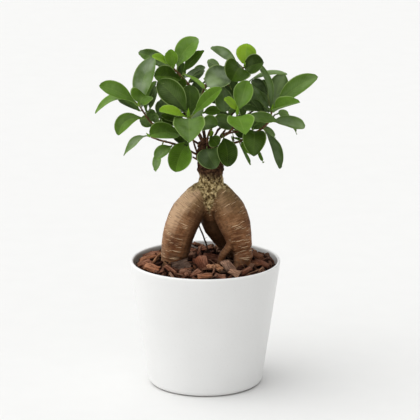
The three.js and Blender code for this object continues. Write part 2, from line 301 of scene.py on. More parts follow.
# %% Floor finish
paper = Finish("studio_paper", {"Specular IOR Level": 0.2})
tone = paper.noise(paper.place, 30, detail=2)
paper_tones = [(0.3, (0.8, 0.8, 0.79)), (0.7, (0.81, 0.81, 0.8))]
dress(floor, paper.paint(paper.ramp(tone, paper_tones), 0.9))
print("floor finished")

# %% [markdown]
# The pieces share a few jobs: to ride on the frame's body and to stand for the CAD nodes that
# they cover, which are hidden.


# %% Piece helpers
def placed(piece, slot, *nodes):
    """The piece rides on the frame and hides the CAD nodes that it stands for. slot is not used."""
    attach(piece, "root")
    if nodes:
        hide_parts(*nodes)
    print(f"{piece.name}: {len(piece.data.polygons)} faces")
    return piece


def store(mesh, name, values):
    """Keeps one number or one vector for each vertex of a mesh."""
    values = np.asarray(values, dtype=np.float32)
    kind, key = ("FLOAT", "value") if values.ndim == 1 else ("FLOAT_VECTOR", "vector")
    mesh.attributes.new(name, kind, "POINT").data.foreach_set(key, values.ravel())


def rows_of(rows, key):
    """The three numbers that each row of mesh data holds, as one array."""
    values = np.empty(len(rows) * 3, dtype=np.float32)
    rows.foreach_get(key, values)
    return values.reshape(-1, 3).astype(float)


def points_of(mesh):
    return rows_of(mesh.vertices, "co")


def normals_of(mesh):
    return rows_of(mesh.vertex_normals, "vector")


def move_points(mesh, points):
    mesh.vertices.foreach_set("co", np.asarray(points, dtype=np.float32).ravel())
    mesh.update()


def merged(node):
    """A CAD node as one closed bmesh. Its own mesh is loose triangles."""
    work = bmesh.new()
    work.from_mesh(frame["nodes"][node].data)
    bmesh.ops.remove_doubles(work, verts=work.verts, dist=0.002 * MM)
    bmesh.ops.recalc_face_normals(work, faces=work.faces)
    return work


def finished(piece):
    """The piece's mesh with its modifiers worked in, as a plain mesh."""
    ready = piece.evaluated_get(bpy.context.evaluated_depsgraph_get())
    mesh = bpy.data.meshes.new_from_object(ready)
    piece.modifiers.clear()
    piece.data = mesh
    return mesh


def skinned(name, node, voxel, smoothing):
    """A CAD node as one even skin of small faces, its edges softened."""
    work = merged(node)
    piece = new_object(name, [], [])
    work.to_mesh(piece.data)
    work.free()
    remesh = piece.modifiers.new("skin", "REMESH")
    remesh.mode = "VOXEL"
    remesh.voxel_size = voxel
    soften = piece.modifiers.new("soften", "SMOOTH")
    soften.factor = 0.5
    soften.iterations = smoothing
    mesh = finished(piece)
    mesh.polygons.foreach_set("use_smooth", [True] * len(mesh.polygons))
    return piece


class Heap:
    """Gathers the points, faces and vertex values of many small shapes for one mesh."""

    def __init__(self):
        self.points, self.faces, self.values, self.count = [], [], {}, 0

    def add(self, points, faces, **values):
        self.faces += [[self.count + i for i in face] for face in faces]
        self.points.append(points)
        self.count += len(points)
        for name, given in values.items():
            self.values.setdefault(name, []).append(given)

    def piece(self, name, material, smooth=True):
        made = new_object(name, np.concatenate(self.points), self.faces, material, smooth)
        for key, given in self.values.items():
            store(made.data, key, np.concatenate(given))
        return made


def search_tree(pieces):
    """One tree over the faces of several pieces, for the nearest place and for rays."""
    heap = Heap()
    for piece in pieces:
        heap.add(points_of(piece.data), [face.vertices for face in piece.data.polygons])
    return BVHTree.FromPolygons(np.concatenate(heap.points).tolist(), heap.faces)


def rough(points, size, octaves=1):
    """Smooth noise from about -1 to 1 at each point, with lumps of a given size in metres."""
    scaled = points / size
    if octaves == 1:
        return np.array([noise.noise(Vector(p)) for p in scaled])
    return np.array([noise.fractal(Vector(p), 1.0, 2.0, octaves) for p in scaled])


def step(value, low, high):
    """A smooth step from 0 to 1 while value goes from low to high, or down to a lower high."""
    share = np.clip((value - low) / (high - low), 0, 1)
    return share * share * (3 - 2 * share)


# %% [markdown]
# The pot is thrown or slip-cast in one piece: a tapered cup whose wall thins to a rounded lip,
# under a satin white glaze. A turned profile is the true way to make it. A fine outline and many
# steps round the axis keep the lip and the base edge smooth.

# %% Pot shape
_, POT_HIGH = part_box("pot")
POT_HEIGHT = POT_HIGH[2]
BASE_RADIUS, LIP_RADIUS = 53 * MM, 70 * MM
WALL, LIP_WALL = 4.2 * MM, 2.9 * MM
THIN_FROM, THIN_TO = POT_HEIGHT - 14 * MM, POT_HEIGHT - 2 * MM
POT_FLOOR = 7 * MM
BASE_ROUND = 5 * MM
FLOOR_ROUND = 6 * MM
POT_SIDES = 168


def outer_radius(height):
    return BASE_RADIUS + (LIP_RADIUS - BASE_RADIUS) * height / POT_HEIGHT


def inner_radius(height):
    """The wall gets thinner towards the lip."""
    return outer_radius(height) - WALL + (WALL - LIP_WALL) * step(height, THIN_FROM, THIN_TO)


def arc(radius, height, size, start, end, steps):
    """Points of a turn about a centre in the profile's plane, in degrees."""
    angles = np.radians(np.linspace(start, end, steps + 1))
    return [(radius + size * math.cos(a), height + size * math.sin(a)) for a in angles]


def straight(radius_at, low, high, steps):
    heights = np.linspace(low, high, steps + 2)[1:-1]
    return [(radius_at(h), h) for h in heights]


def tube_faces(rings, sides, inside_out=False):
    """Faces round a row of rings, closed at the ends by the two points that come after them."""
    top = (rings - 1) * sides
    faces = []
    for a in range(0, top, sides):
        b = a + sides
        faces += [(a + i, a + (i + 1) % sides, b + (i + 1) % sides, b + i) for i in range(sides)]
    for i in range(sides):
        j = (i + 1) % sides
        faces += [(j, i, top + sides), (top + i, top + j, top + sides + 1)]
    return [(face[0], *face[:0:-1]) for face in faces] if inside_out else faces


def turned(name, profile, sides):
    """A closed profile of radius and height turned round the Z axis."""
    turns = [math.tau * i / sides for i in range(sides)]
    points = [(r * math.cos(t), r * math.sin(t), h) for r, h in profile[1:-1] for t in turns]
    points += [(0, 0, profile[0][1]), (0, 0, profile[-1][1])]
    return new_object(name, points, tube_faces(len(profile) - 2, sides))


lip = LIP_WALL / 2
floor_turn = POT_FLOOR + FLOOR_ROUND
profile = [
    (0, 0),
    (20 * MM, 0),
    (36 * MM, 0),
    *arc(outer_radius(BASE_ROUND) - BASE_ROUND, BASE_ROUND, BASE_ROUND, -90, 0, 10),
    *straight(outer_radius, BASE_ROUND, POT_HEIGHT - lip, 22),
    *arc(outer_radius(POT_HEIGHT - lip) - lip, POT_HEIGHT - lip, lip, 0, 180, 14),
    *straight(inner_radius, POT_HEIGHT - lip, floor_turn, 12),
    *arc(inner_radius(floor_turn) - FLOOR_ROUND, floor_turn, FLOOR_ROUND, 0, -90, 6),
    (20 * MM, POT_FLOOR),
    (0, POT_FLOOR),
]
pot = turned("pot_glazed", profile, POT_SIDES)
placed(pot, "white_glaze", "pot")

# %% [markdown]
# The glaze is satin, not glassy: it shows a broad soft highlight. Real glaze pools a little, so
# its colour and gloss drift slowly, and a very fine waviness breaks up the reflection. The lip
# is where glaze runs thin, so it is a touch brighter there. Inside, the wall above the mulch is
# darkened down to a wavy line: partly a stain left by damp mulch, partly painted shade, which
# reaches higher on the left, where the inner wall lies in shade.

# %% Glaze finish
WALL_SLOPE = 0.145
glaze = Finish("satin_white_glaze", {"Coat Weight": 0.25, "Coat Roughness": 0.22, "IOR": 1.5})
drift = glaze.noise(glaze.place, 14, detail=2)
speck = glaze.noise(glaze.place, 900, detail=1)
waviness = glaze.noise(glaze.place, 60, detail=2)
orange_peel = glaze.noise(glaze.place, 700, detail=1)
across_pot, into_pot, height_on_pot = glaze.parts(glaze.place)
from_axis = (across_pot * across_pot + into_pot * into_pot) ** 0.5 - height_on_pot * WALL_SLOPE
inside = glaze.between(from_axis, BASE_RADIUS - 1.6 * MM, BASE_RADIUS - 2.4 * MM)
# Painted shade and a damp stain on the inner wall above the mulch, reaching higher on the left.
stain_and_shade_height = height_on_pot + waviness * 2 * MM + (across_pot + LIP_RADIUS) * 0.04
stain_and_shade = glaze.between(stain_and_shade_height, POT_HEIGHT + 1.5 * MM, POT_HEIGHT - 2.5 * MM)
on_lip = glaze.between(height_on_pot, POT_HEIGHT - 2.5 * MM, POT_HEIGHT - 0.5 * MM)
white = glaze.coats(
    glaze.ramp(drift, [(0.3, (0.8, 0.8, 0.79)), (0.7, (0.84, 0.84, 0.832))]),
    (glaze.between(speck, 0.68, 0.74) * 0.25, (0.62, 0.6, 0.56)),
    (on_lip * 0.6, (0.88, 0.88, 0.87)),
    (inside * stain_and_shade * 0.85, (0.3, 0.25, 0.21)),
)
glaze.bumps((waviness, 0.4 * MM), (orange_peel, 0.03 * MM))
dress(pot, glaze.paint(white, glaze.between(drift, 0.3, 0.7, 0.3, 0.4)))
print("glaze finished")

# %% [markdown]
# Inside the pot is potting soil, which shows only as darkness between the bark chips. The CAD
# node is right as it is and gets a crumbly dark finish. The bed under the chips is the bark
# layer itself, set a little lower, so that the chips can lie on it and reach the true height.

# %% Soil and bed
soil = Finish("damp_soil", {"Specular IOR Level": 0.25})
crumbs = soil.noise(soil.place, 420, detail=5)
soil.bumps((crumbs, 1.2 * MM))
soil_tones = [(0.3, (0.012, 0.008, 0.006)), (0.5, (0.03, 0.019, 0.013)), (0.7, (0.07, 0.045, 0.03))]
soil_material = soil.paint(soil.ramp(crumbs, soil_tones), 0.95)
dress(frame["nodes"]["potting_soil"], soil_material)

BED_DROP = 6 * MM
BED_TOP = 111.5 * MM
bed = skinned("bark_bed", "bark_mulch", 1.3 * MM, 2)
bed_points = points_of(bed.data)
near_top = step(bed_points[:, 2], BED_TOP - 6 * MM, BED_TOP - 2 * MM)
bed_points[:, 2] -= BED_DROP * near_top
bed_points[:, 2] += 0.8 * MM * near_top * rough(bed_points, 4 * MM)
move_points(bed.data, bed_points)
dress(bed, soil_material)
placed(bed, "bark_chips", "bark_mulch")

# %% [markdown]
# The mulch is several hundred chips of pine or fir bark, each a flat, angular flake with ragged
# ends. This is work for Geometry Nodes: points are scattered over the bed, a small block is put on
# each with its own size, turn and tilt, and noise with its own seed makes every block a different
# flake. The tree has named inputs, so that one rule lays five layers, from broad low chips to thin
# splinters on top.


# %% Chip tree
CHIP_INPUTS = {
    "Spacing": 6.5 * MM, "Length": 12 * MM, "Width": 6.5 * MM, "Thickness": 2.2 * MM,
    "Lift": 2 * MM, "Tilt": 0.5, "Raggedness": 1.25 * MM,
}
MOST_SPOTS = 90000.0
FACES_UP = 0.6
BLOCK_CUTS = (5, 3, 2)


def chip_tree():
    """Geometry Nodes that cover the bed's top with bark chips."""
    group = bpy.data.node_groups.new("bark_chips", "GeometryNodeTree")
    inputs = [("Bed", "Geometry", None), *[(name, "Float", size) for name, size in CHIP_INPUTS.items()]]
    for name, kind, default in [*inputs, ("Seed", "Int", 1), ("Finish", "Material", None)]:
        made = group.interface.new_socket(name, in_out="INPUT", socket_type="NodeSocket" + kind)
        if default is not None:
            made.default_value = default
    group.interface.new_socket("Chips", in_out="OUTPUT", socket_type="NodeSocketGeometry")
    tree = NodeTree(group)
    given = group.nodes.new("NodeGroupInput")
    use = {socket.name: Value(tree, socket) for socket in given.outputs if socket.name}
    seed = use["Seed"]

    def random_value(low, high, extra):
        inputs = {2: low, 3: high, "Seed": seed + extra}
        return tree.node("FunctionNodeRandomValue", {"data_type": "FLOAT"}, inputs, out=1)

    upward = tree.parts(tree.node("GeometryNodeInputNormal"))[2]
    facing_up = tree.node("FunctionNodeCompare", {"operation": "GREATER_THAN"}, {0: upward, 1: FACES_UP})
    scatter = {"Mesh": use["Bed"], "Selection": facing_up, "Distance Min": use["Spacing"]}
    scatter |= {"Density Max": MOST_SPOTS, "Seed": seed}
    spots = tree.node("GeometryNodeDistributePointsOnFaces", {"distribute_method": "POISSON"}, scatter)
    lift = tree.combine(0.0, 0.0, random_value(0.3, 1.0, 1) * use["Lift"])
    spots = tree.node("GeometryNodeSetPosition", None, {"Geometry": spots, "Offset": lift})
    cuts = {f"Vertices {axis}": cut for axis, cut in zip("XYZ", BLOCK_CUTS)}
    block = tree.node("GeometryNodeMeshCube", None, {"Size": (1, 1, 1), **cuts})
    grain = {"Geometry": block, "Name": "grain", "Value": tree.node("GeometryNodeInputPosition")}
    vector = {"data_type": "FLOAT_VECTOR", "domain": "POINT"}
    block = tree.node("GeometryNodeStoreNamedAttribute", vector, grain)
    size = tree.combine(
        random_value(0.5, 1.35, 2) * use["Length"],
        random_value(0.5, 1.3, 3) * use["Width"],
        random_value(0.5, 1.4, 4) * use["Thickness"],
    )
    turn = tree.combine(
        random_value(-1.0, 1.0, 5) * use["Tilt"],
        random_value(-0.8, 0.8, 6) * use["Tilt"],
        random_value(0.0, math.tau, 7),
    )
    laid = {"Points": spots, "Instance": block, "Rotation": turn, "Scale": size}
    chips = tree.node("GeometryNodeInstanceOnPoints", None, laid)
    own = {"Geometry": chips, "Name": "chip", "Value": random_value(0.0, 1.0, 8)}
    instance = {"data_type": "FLOAT", "domain": "INSTANCE"}
    chips = tree.node("GeometryNodeStoreNamedAttribute", instance, own)
    chips = tree.node("GeometryNodeRealizeInstances", None, {"Geometry": chips})
    chip_number = tree.node("GeometryNodeInputNamedAttribute", {"data_type": "FLOAT"}, {"Name": "chip"})
    where = tree.node("GeometryNodeInputPosition")
    waves = {"Vector": where, "W": chip_number * 90, "Scale": 115.0, "Detail": 1.5}
    ragged = tree.node("ShaderNodeTexNoise", {"noise_dimensions": "4D"}, waves, out="Color")
    centred = tree.vector("SUBTRACT", ragged, (0.5, 0.5, 0.5))
    scaled = {0: centred, 3: use["Raggedness"] * 2}
    offset = tree.node("ShaderNodeVectorMath", {"operation": "SCALE"}, scaled)
    chips = tree.node("GeometryNodeSetPosition", None, {"Geometry": chips, "Offset": offset})
    chips = tree.node("GeometryNodeSetMaterial", None, {"Geometry": chips, "Material": use["Finish"]})
    end = group.nodes.new("NodeGroupOutput")
    tree.connect(chips, end.inputs[0])
    return group


chips_rule = chip_tree()
print("chip tree:", len(chips_rule.nodes), "nodes")

# %% [markdown]
# Each chip is red-brown inside and greyer on its weathered face, with the fibre running along it.
# The tree gave every chip a random number and its own lengthwise coordinates, which the finish
# reads: the number picks the colour, the coordinates stretch the fibre noise and show where the
# ends and sides are, which get painted shade. Chips that lie open get a painted highlight, those
# between others painted shade, and those right of the rootstock, where its shadow falls, more
# painted shade.

# %% Chip finish
CHIP_COLOURS = [
    (0.0, (0.055, 0.022, 0.015)),
    (0.15, (0.19, 0.063, 0.034)),
    (0.34, (0.36, 0.125, 0.066)),
    (0.47, (0.1, 0.036, 0.022)),
    (0.64, (0.62, 0.25, 0.12)),
    (0.76, (0.14, 0.096, 0.074)),
    (0.88, (0.68, 0.33, 0.165)),
    (1.0, (0.36, 0.25, 0.195)),
]
bark = Finish("bark_chip", {"Specular IOR Level": 0.07})
chip_number = bark.attribute("chip")
open_sky = bark.attribute("open")
grain = bark.attribute("grain", out="Vector")
shifted = bark.vector("ADD", bark.stretched(grain, 1.5, 9, 5), bark.combine(chip_number * 37))
fibre = bark.noise(shifted, 1.3, detail=4, roughness=0.6)
grit = bark.noise(bark.place, 900, detail=3)
grain_x, grain_y, _ = [abs(part) for part in bark.parts(grain)]
# Painted shade on each chip's ends and sides.
side_shade = bark.between(bark.math("MAXIMUM", grain_x, grain_y), 0.475, 0.497)
# Painted shade on the chips right of the rootstock, where its shadow falls.
shade_right_of_trunk = bark.between(bark.parts(bark.place)[0], 12 * MM, 50 * MM)
chip_colour = bark.coats(
    bark.ramp(chip_number, CHIP_COLOURS),
    # Painted highlight on chips that lie open, then painted shade on those between others.
    (bark.between(open_sky, 0.7, 1.0) * 0.32, (0.82, 0.46, 0.3)),
    (bark.between(open_sky, 0.82, 0.3) * 0.94, (0.01, 0.004, 0.002)),
    (shade_right_of_trunk * 0.4, (0.05, 0.026, 0.018)),
    (side_shade * 0.62, (0.03, 0.012, 0.008)),
    (bark.between(fibre, 0.42, 0.62) * 0.7, (0.045, 0.02, 0.014)),
    (bark.between(grit, 0.55, 0.75) * 0.35, (0.3, 0.2, 0.15)),
)
bark.bumps((fibre, 2 * MM), (grit, 0.4 * MM))
bark_material = bark.paint(chip_colour, bark.between(fibre, 0.3, 0.7, 0.7, 0.95))
print("chip finish ready")

# %% [markdown]
# A few chips catch the eye: a grey plate beside the left root, a rounded red-brown one in the
# middle, an upright one by the spur root, and strips near the rim. They are listed one by one, and
# the scattered chips that would lie over them are left out.

# %% Lay the chips
# Each: place and size in millimetres, three turns in degrees and the number that picks its colour.
# The turns are the spin of its length, how far it stands up, and how far it looks aside.
NAMED_CHIPS = {
    "grey_plate": ((-22.5, -22.2, 116.4), (17, 12.5, 3), (14, 52, 4), 0.76),
    "rounded_red": ((-3.5, -15.4, 116.6), (15.5, 11.5, 4), (-68, 60, -6), 0.32),
    "red_pair": ((5.7, 5.4, 116.6), (15, 8.5, 3.4), (-12, 48, 8), 0.15),
    "upright_grey": ((22.1, -32.3, 116.6), (19, 10, 4.4), (-60, 62, 4), 0.97),
    "upright_low": ((26.7, -41.6, 115.5), (11, 8, 4), (-30, 45, 0), 0.94),
    "knobby_one": ((5.5, -28.5, 116.2), (8.5, 7.5, 7), (20, 30, 10), 0.88),
    "knobby_two": ((12.1, -32.6, 116.2), (9, 7.5, 7), (-25, 35, -8), 0.87),
    "left_orange": ((-49.3, -24.7, 115.5), (14.5, 8, 3.4), (-24, 50, 4), 0.64),
    "left_red": ((-56.3, -6.7, 115.3), (12.5, 5.6, 2.6), (26, 42, -12), 0.34),
    "left_strip": ((-53.4, 7.5, 116.2), (17, 5.4, 2.6), (24, 52, -8), 0.62),
    "left_strip_two": ((-50.0, 20.7, 116), (16, 5, 2.4), (12, 40, 0), 0.3),
    "left_pale": ((-45.0, 0.3, 118), (14, 2.6, 2), (56, 60, 0), 0.89),
    "right_red": ((36.3, -38.0, 115.8), (14, 5.2, 2.8), (32, 54, 0), 0.34),
    "right_strip": ((50.6, 11.0, 116.6), (17, 5.4, 2.6), (-34, 52, 8), 0.6),
    "right_strip_two": ((52.5, -10.3, 115.8), (15, 4.8, 2.6), (-26, 50, 0), 0.3),
    "right_orange": ((45.1, -10.9, 115.5), (12, 6, 3), (10, 40, 0), 0.62),
    "right_dark": ((59.0, 9.3, 116.2), (9, 6, 3), (-65, 55, 10), 0.02),
    "front_dark": ((-18.4, -41.5, 115), (11, 6.5, 3), (-10, 48, 0), 0.1),
    "front_split": ((-10.2, -45.6, 115.2), (14, 5, 3), (38, 45, 0), 0.2),
    "front_long": ((-0.1, -49.9, 115), (13, 4.8, 2.8), (8, 50, 0), 0.62),
    "front_low": ((13.5, -52.5, 114.8), (10, 6, 3), (-14, 48, 0), 0.2),
    "foot_sliver": ((-31.3, -33.2, 115.5), (14, 5, 3), (-42, 50, 0), 0.36),
    "middle_dark": ((-14.3, 12.5, 115.8), (13, 7, 3), (20, 42, 0), 0.05),
    "middle_red": ((-11.7, 35.1, 115.5), (11, 4.6, 2.6), (-24, 44, 0), 0.3),
    "back_arch": ((0.6, 43.0, 115.8), (12, 4.4, 2.4), (14, 40, 0), 0.22),
    "back_arch_two": ((-6.1, 54.8, 115.6), (12, 3.8, 2.4), (-26, 42, 0), 0.4),
}
LAYER_INPUTS = ("Spacing", "Length", "Width", "Thickness", "Lift", "Tilt", "Seed")
CHIP_LAYERS = [
    (6.2 * MM, 11 * MM, 5.4 * MM, 1.9 * MM, 2 * MM, 0.5, 11),
    (6.2 * MM, 10.5 * MM, 4.4 * MM, 1.8 * MM, 6 * MM, 0.95, 23),
    (6.6 * MM, 10.5 * MM, 3.8 * MM, 1.7 * MM, 9.5 * MM, 1.05, 35),
    (6.4 * MM, 6 * MM, 2.8 * MM, 1.5 * MM, 8 * MM, 1.3, 47),
    (6.2 * MM, 12 * MM, 2.3 * MM, 1.5 * MM, 11 * MM, 0.95, 59),
]
TOP_OF_CHIPS = 119 * MM
TOP_OF_NAMED = 123.5 * MM
TOP_AT_WALL = 114 * MM
PRESSED_DOWN = 0.65
WALL_GAP, ROOT_GAP = 0.4 * MM, 0.15 * MM
BLOCK_POINTS = math.prod(BLOCK_CUTS)
ROOM_FOR_NAMED, LEAST_ROOM = 0.4, 5.2
UNDER_NAMED = 4.5 * MM
trunk_skin = BVHTree.FromBMesh(merged("trunk"))


def laid_chips(layer):
    """One layer of chips as an object of its own, made from the bed."""
    cover = bpy.data.objects.new("chips", bed.data.copy())
    bpy.context.scene.collection.objects.link(cover)
    modifier = cover.modifiers.new("chips", "NODES")
    modifier.node_group = chips_rule
    inputs = [item for item in chips_rule.interface.items_tree if item.in_out == "INPUT"]
    identifiers = {item.name: item.identifier for item in inputs}
    for name, given in {**layer, "Finish": bark_material}.items():
        modifier[identifiers[name]] = given
    finished(cover)
    return cover


def kept_inside(points, top=TOP_OF_CHIPS):
    """Moves chip points off the pot's wall and out of the roots, and down to the top of the bed."""
    moved = points.copy()
    reach = np.hypot(moved[:, 0], moved[:, 1])
    room = inner_radius(moved[:, 2]) - WALL_GAP
    moved[:, :2] *= np.minimum(1, room / reach)[:, None]
    limit = top - (top - TOP_AT_WALL) * step(reach - room, -10 * MM, -3 * MM)
    moved[:, 2] -= np.maximum(moved[:, 2] - limit, 0) * PRESSED_DOWN
    for i, point in enumerate(moved):
        spot, normal, _, _ = trunk_skin.find_nearest(Vector(point), 6 * MM)
        if spot is not None and (Vector(point) - spot).dot(normal) < 0:
            moved[i] = spot + normal * ROOT_GAP
    return moved


def clear_named(mesh):
    """Takes out the scattered chips that would lie over the listed ones."""
    blocks = points_of(mesh).reshape(-1, BLOCK_POINTS, 3).mean(axis=1)
    drop = np.zeros(len(blocks), bool)
    for place, size, _, _ in NAMED_CHIPS.values():
        middle = np.array(place) * MM
        gap = np.linalg.norm((blocks - middle)[:, :2], axis=1)
        room = max(ROOM_FOR_NAMED * size[0], LEAST_ROOM) * MM
        drop |= (gap < room) & (blocks[:, 2] > middle[2] - UNDER_NAMED)
    work = bmesh.new()
    work.from_mesh(mesh)
    doomed = [v for i, v in enumerate(work.verts) if drop[i // BLOCK_POINTS]]
    bmesh.ops.delete(work, geom=doomed, context="VERTS")
    work.to_mesh(mesh)
    work.free()


layers = [laid_chips(dict(zip(LAYER_INPUTS, layer))) for layer in CHIP_LAYERS]
for cover in layers:
    clear_named(cover.data)
    move_points(cover.data, kept_inside(points_of(cover.data)))
with bpy.context.temp_override(active_object=layers[0], selected_editable_objects=layers):
    bpy.ops.object.join()
loose_chips = layers[0]
loose_chips.name = "bark_chips_loose"
loose_chips.data.polygons.foreach_set("use_smooth", [False] * len(loose_chips.data.polygons))
placed(loose_chips, "bark_chips")
print("scattered chips:", len(loose_chips.data.vertices) // BLOCK_POINTS)

# %% [markdown]
# A chip that is listed one by one is a finer block, because it shows more: its ends are torn along
# the fibre, its sides wander, and it is a little warped and thins out towards its edges.


# %% Chips that stand out
SLAB_CUTS = 4
TORN_ENDS, WAVY_SIDES, WARP = 0.3, 0.35, 0.35
THIN_EDGE, EDGE_FROM = 0.45, 0.7


def slab(size, turn, place, seed):
    """A bark flake with ragged ends: points in metres, faces, and its own unit coordinates."""
    work = bmesh.new()
    bmesh.ops.create_cube(work, size=1)
    bmesh.ops.subdivide_edges(work, edges=work.edges[:], cuts=SLAB_CUTS, use_grid_fill=True)
    grain = np.array([v.co for v in work.verts])
    faces = [[v.index for v in face.verts] for face in work.faces]
    work.free()
    edge = np.maximum(abs(grain[:, 0]), abs(grain[:, 1])) * 2
    shaped = grain.copy()
    shift = Vector((seed * 7.3, seed * 3.1, seed * 1.7))
    for i, (x, y, z) in enumerate(grain):
        ends = noise.noise(Vector((y * 3.2, z, 0.3)) + shift)
        sides = noise.noise(Vector((x * 2.2, z, 5.3)) + shift)
        plate = noise.noise(Vector((x * 2.5, y * 2.5, 9.1)) + shift)
        shaped[i, 0] = x * (1 + TORN_ENDS * ends) - 0.1 * y * sides
        shaped[i, 1] = y * (1 + WAVY_SIDES * sides) * (1 - 0.5 * abs(x) * abs(ends))
        near_edge = max(0, edge[i] - EDGE_FROM) / (1 - EDGE_FROM)
        shaped[i, 2] = z * (1 - THIN_EDGE * near_edge) + WARP * plate
    spin, tilt, aside = [Matrix.Rotation(math.radians(a), 3, axis) for a, axis in zip(turn, "ZXZ")]
    turned_by = np.array(aside @ tilt @ spin)
    return shaped * np.array(size) * MM @ turned_by.T + np.array(place) * MM, faces, grain


by_hand = Heap()
for seed, (place, size, turn, number) in enumerate(NAMED_CHIPS.values(), 1):
    shape, faces, grain = slab(size, turn, place, seed)
    own = np.full(len(shape), number)
    by_hand.add(kept_inside(shape, TOP_OF_NAMED), faces, grain=grain, chip=own)
named_chips = placed(by_hand.piece("bark_chips_large", bark_material, smooth=False), "bark_chips")

# %% [markdown]
# Shade is painted between the chips and a highlight on their open tops. So every vertex of the
# mulch keeps how open it lies: the share of rays towards the sky that get past its neighbours.

# %% Painted shade between the chips
SKY_REACH = 16 * MM
OFF_THE_CHIP = 0.35 * MM
# The rays lean in rings round the upright one. Each ring: its lean in degrees, how many rays.
SKY_RINGS = [(38, 4), (64, 5)]
SKY_WAYS = [Vector((0, 0, 1))]
for lean, number in SKY_RINGS:
    slope = math.radians(lean)
    for i in range(number):
        way = Vector((0, math.sin(slope), math.cos(slope)))
        way.rotate(Matrix.Rotation(math.tau * (i + 0.3) / number, 3, "Z"))
        SKY_WAYS.append(way)
around_chips = search_tree([loose_chips, named_chips, frame["nodes"]["trunk"]])


def sky_share(point):
    """The share of the ways towards the sky that are free at a point."""
    start = Vector(point)
    return np.mean([around_chips.ray_cast(start, way, SKY_REACH)[0] is None for way in SKY_WAYS])


for cover in (loose_chips, named_chips):
    starts = points_of(cover.data) + normals_of(cover.data) * OFF_THE_CHIP
    share = np.array([sky_share(point) for point in starts])
    store(cover.data, "open", share)
    print(f"{cover.name} lies {share.mean():.0%} open")

# %% [markdown]
# The rootstock is one grown piece. To know what runs across a leg, every vertex of its skin is
# given its place along the nearest limb and the way round it, as if each limb were pulled straight.

# %% Limbs of the rootstock
# Middle lines of the limbs from the top down: x, y, z and radius in millimetres.
LIMBS = {
    "neck": [
        (5, 3, 166, 13), (5.5, 2, 182, 14), (5.3, 2, 190, 11.8), (5.3, 2, 196, 10.8),
        (5, 2, 203, 12.2), (3.5, 2, 212, 11), (2, 2, 221, 10), (1, 2, 227, 7),
    ],
    "left_leg": [
        (5, 2, 186, 9.5), (-6, 0, 176, 13), (-16, -2, 163, 15.4), (-23, -4, 148, 15),
        (-27, -6, 132, 13.8), (-28.5, -6, 118, 12.3), (-28, -6, 106, 10), (-26, -6, 80, 3),
    ],
    "right_leg": [
        (6, 2, 186, 9.5), (15, 1, 176, 12.5), (22, 0, 163, 15.6), (28, -2, 149, 14.6),
        (31.5, -5, 136, 12), (35, -8, 123, 8.2), (33.5, -10, 112, 7.6), (31, -10, 84, 3),
    ],
    "rear_leg": [
        (6, 6, 180, 10), (6, 10, 165, 11), (6, 13, 151, 10.4), (12, 17, 139, 10),
        (20, 21, 128, 9.5), (27, 24, 116, 8.5), (31, 26, 104, 7), (33, 27, 88, 3),
    ],
    "spur_root": [
        (27, -8, 139, 3.4), (23, -12, 133.5, 2.9), (18, -13, 127.5, 2.4),
        (14.7, -13, 121.5, 2.2), (13.5, -12, 115, 2), (13, -11, 105, 1.4),
    ],
}
LIMB_STEPS = 90


def through(knots, values, places):
    """Smooth curves through rows of values, read at any places between the knots."""
    knots, values = np.asarray(knots, float), np.asarray(values, float)
    slopes = np.gradient(values, knots, axis=0)
    i = np.clip(np.searchsorted(knots, places, side="right") - 1, 0, len(knots) - 2)
    gap = knots[i + 1] - knots[i]
    t = (places - knots[i]) / gap
    shape = (-1,) + (1,) * (values.ndim - 1)
    t, gap = t.reshape(shape), gap.reshape(shape)
    a, b = values[i], values[i + 1]
    bend_a, bend_b = slopes[i] * gap, slopes[i + 1] * gap
    near = (2 * t**3 - 3 * t**2 + 1) * a + (t**3 - 2 * t**2 + t) * bend_a
    return near + (3 * t**2 - 2 * t**3) * b + (t**3 - t**2) * bend_b


def curve(knots, steps):
    """A smooth line of many points through a few."""
    return through(np.arange(len(knots)), knots, np.linspace(0, len(knots) - 1, steps))


def unit(rows):
    """Rows of length one."""
    return rows / np.maximum(np.linalg.norm(rows, axis=-1, keepdims=True), 1e-12)


def straightened(points, limbs):
    """Where each point is on its nearest limb: how far along it, how far round it, which limb."""
    best = np.full(len(points), np.inf)
    place = np.zeros((len(points), 3))
    for number, knots in enumerate(limbs.values()):
        line = curve(knots, LIMB_STEPS)
        middle, radius = line[:, :3] * MM, line[:, 3] * MM
        along = np.concatenate([[0], np.cumsum(np.linalg.norm(np.diff(middle, axis=0), axis=1))])
        tangent = unit(np.gradient(middle, axis=0))
        side = unit(np.array([0, 1, 0]) - tangent * tangent[:, 1:2])
        across = np.cross(tangent, side)
        gaps = np.linalg.norm(points[:, None, :] - middle[None, :, :], axis=2) / radius
        nearest = gaps.argmin(axis=1)
        rel = points - middle[nearest]
        lengthwise = along[nearest] + (rel * tangent[nearest]).sum(axis=1)
        angle = np.arctan2((rel * across[nearest]).sum(axis=1), -(rel * side[nearest]).sum(axis=1))
        flat = np.stack([lengthwise, angle * radius[nearest], np.full(len(points), number)], axis=1)
        closer = gaps.min(axis=1) < best
        best[closer] = gaps.min(axis=1)[closer]
        place[closer] = flat[closer]
    return place


print("limbs:", ", ".join(LIMBS))

# %% [markdown]
# The CAD solid has the rootstock's true outline, but where two legs meet it has sharp creases. A
# voxel remesh turns it into one even skin, which is softened. Its zones are then found by height
# and place: the corky neck with a wedge of cork that runs down between the legs, the knobs at the
# top and the feet.

# %% Rootstock skin
TRUNK_VOXEL = 0.62 * MM
NECK_FROM, NECK_TO = 182 * MM, 190 * MM
KNOBS_FROM, KNOBS_TO = 193 * MM, 201 * MM
FOOT_FROM, FOOT_TO = 134 * MM, 120 * MM
CORK_POINT, CORK_TOP = 158 * MM, 187 * MM
CORK_MIDDLE = 3.5 * MM

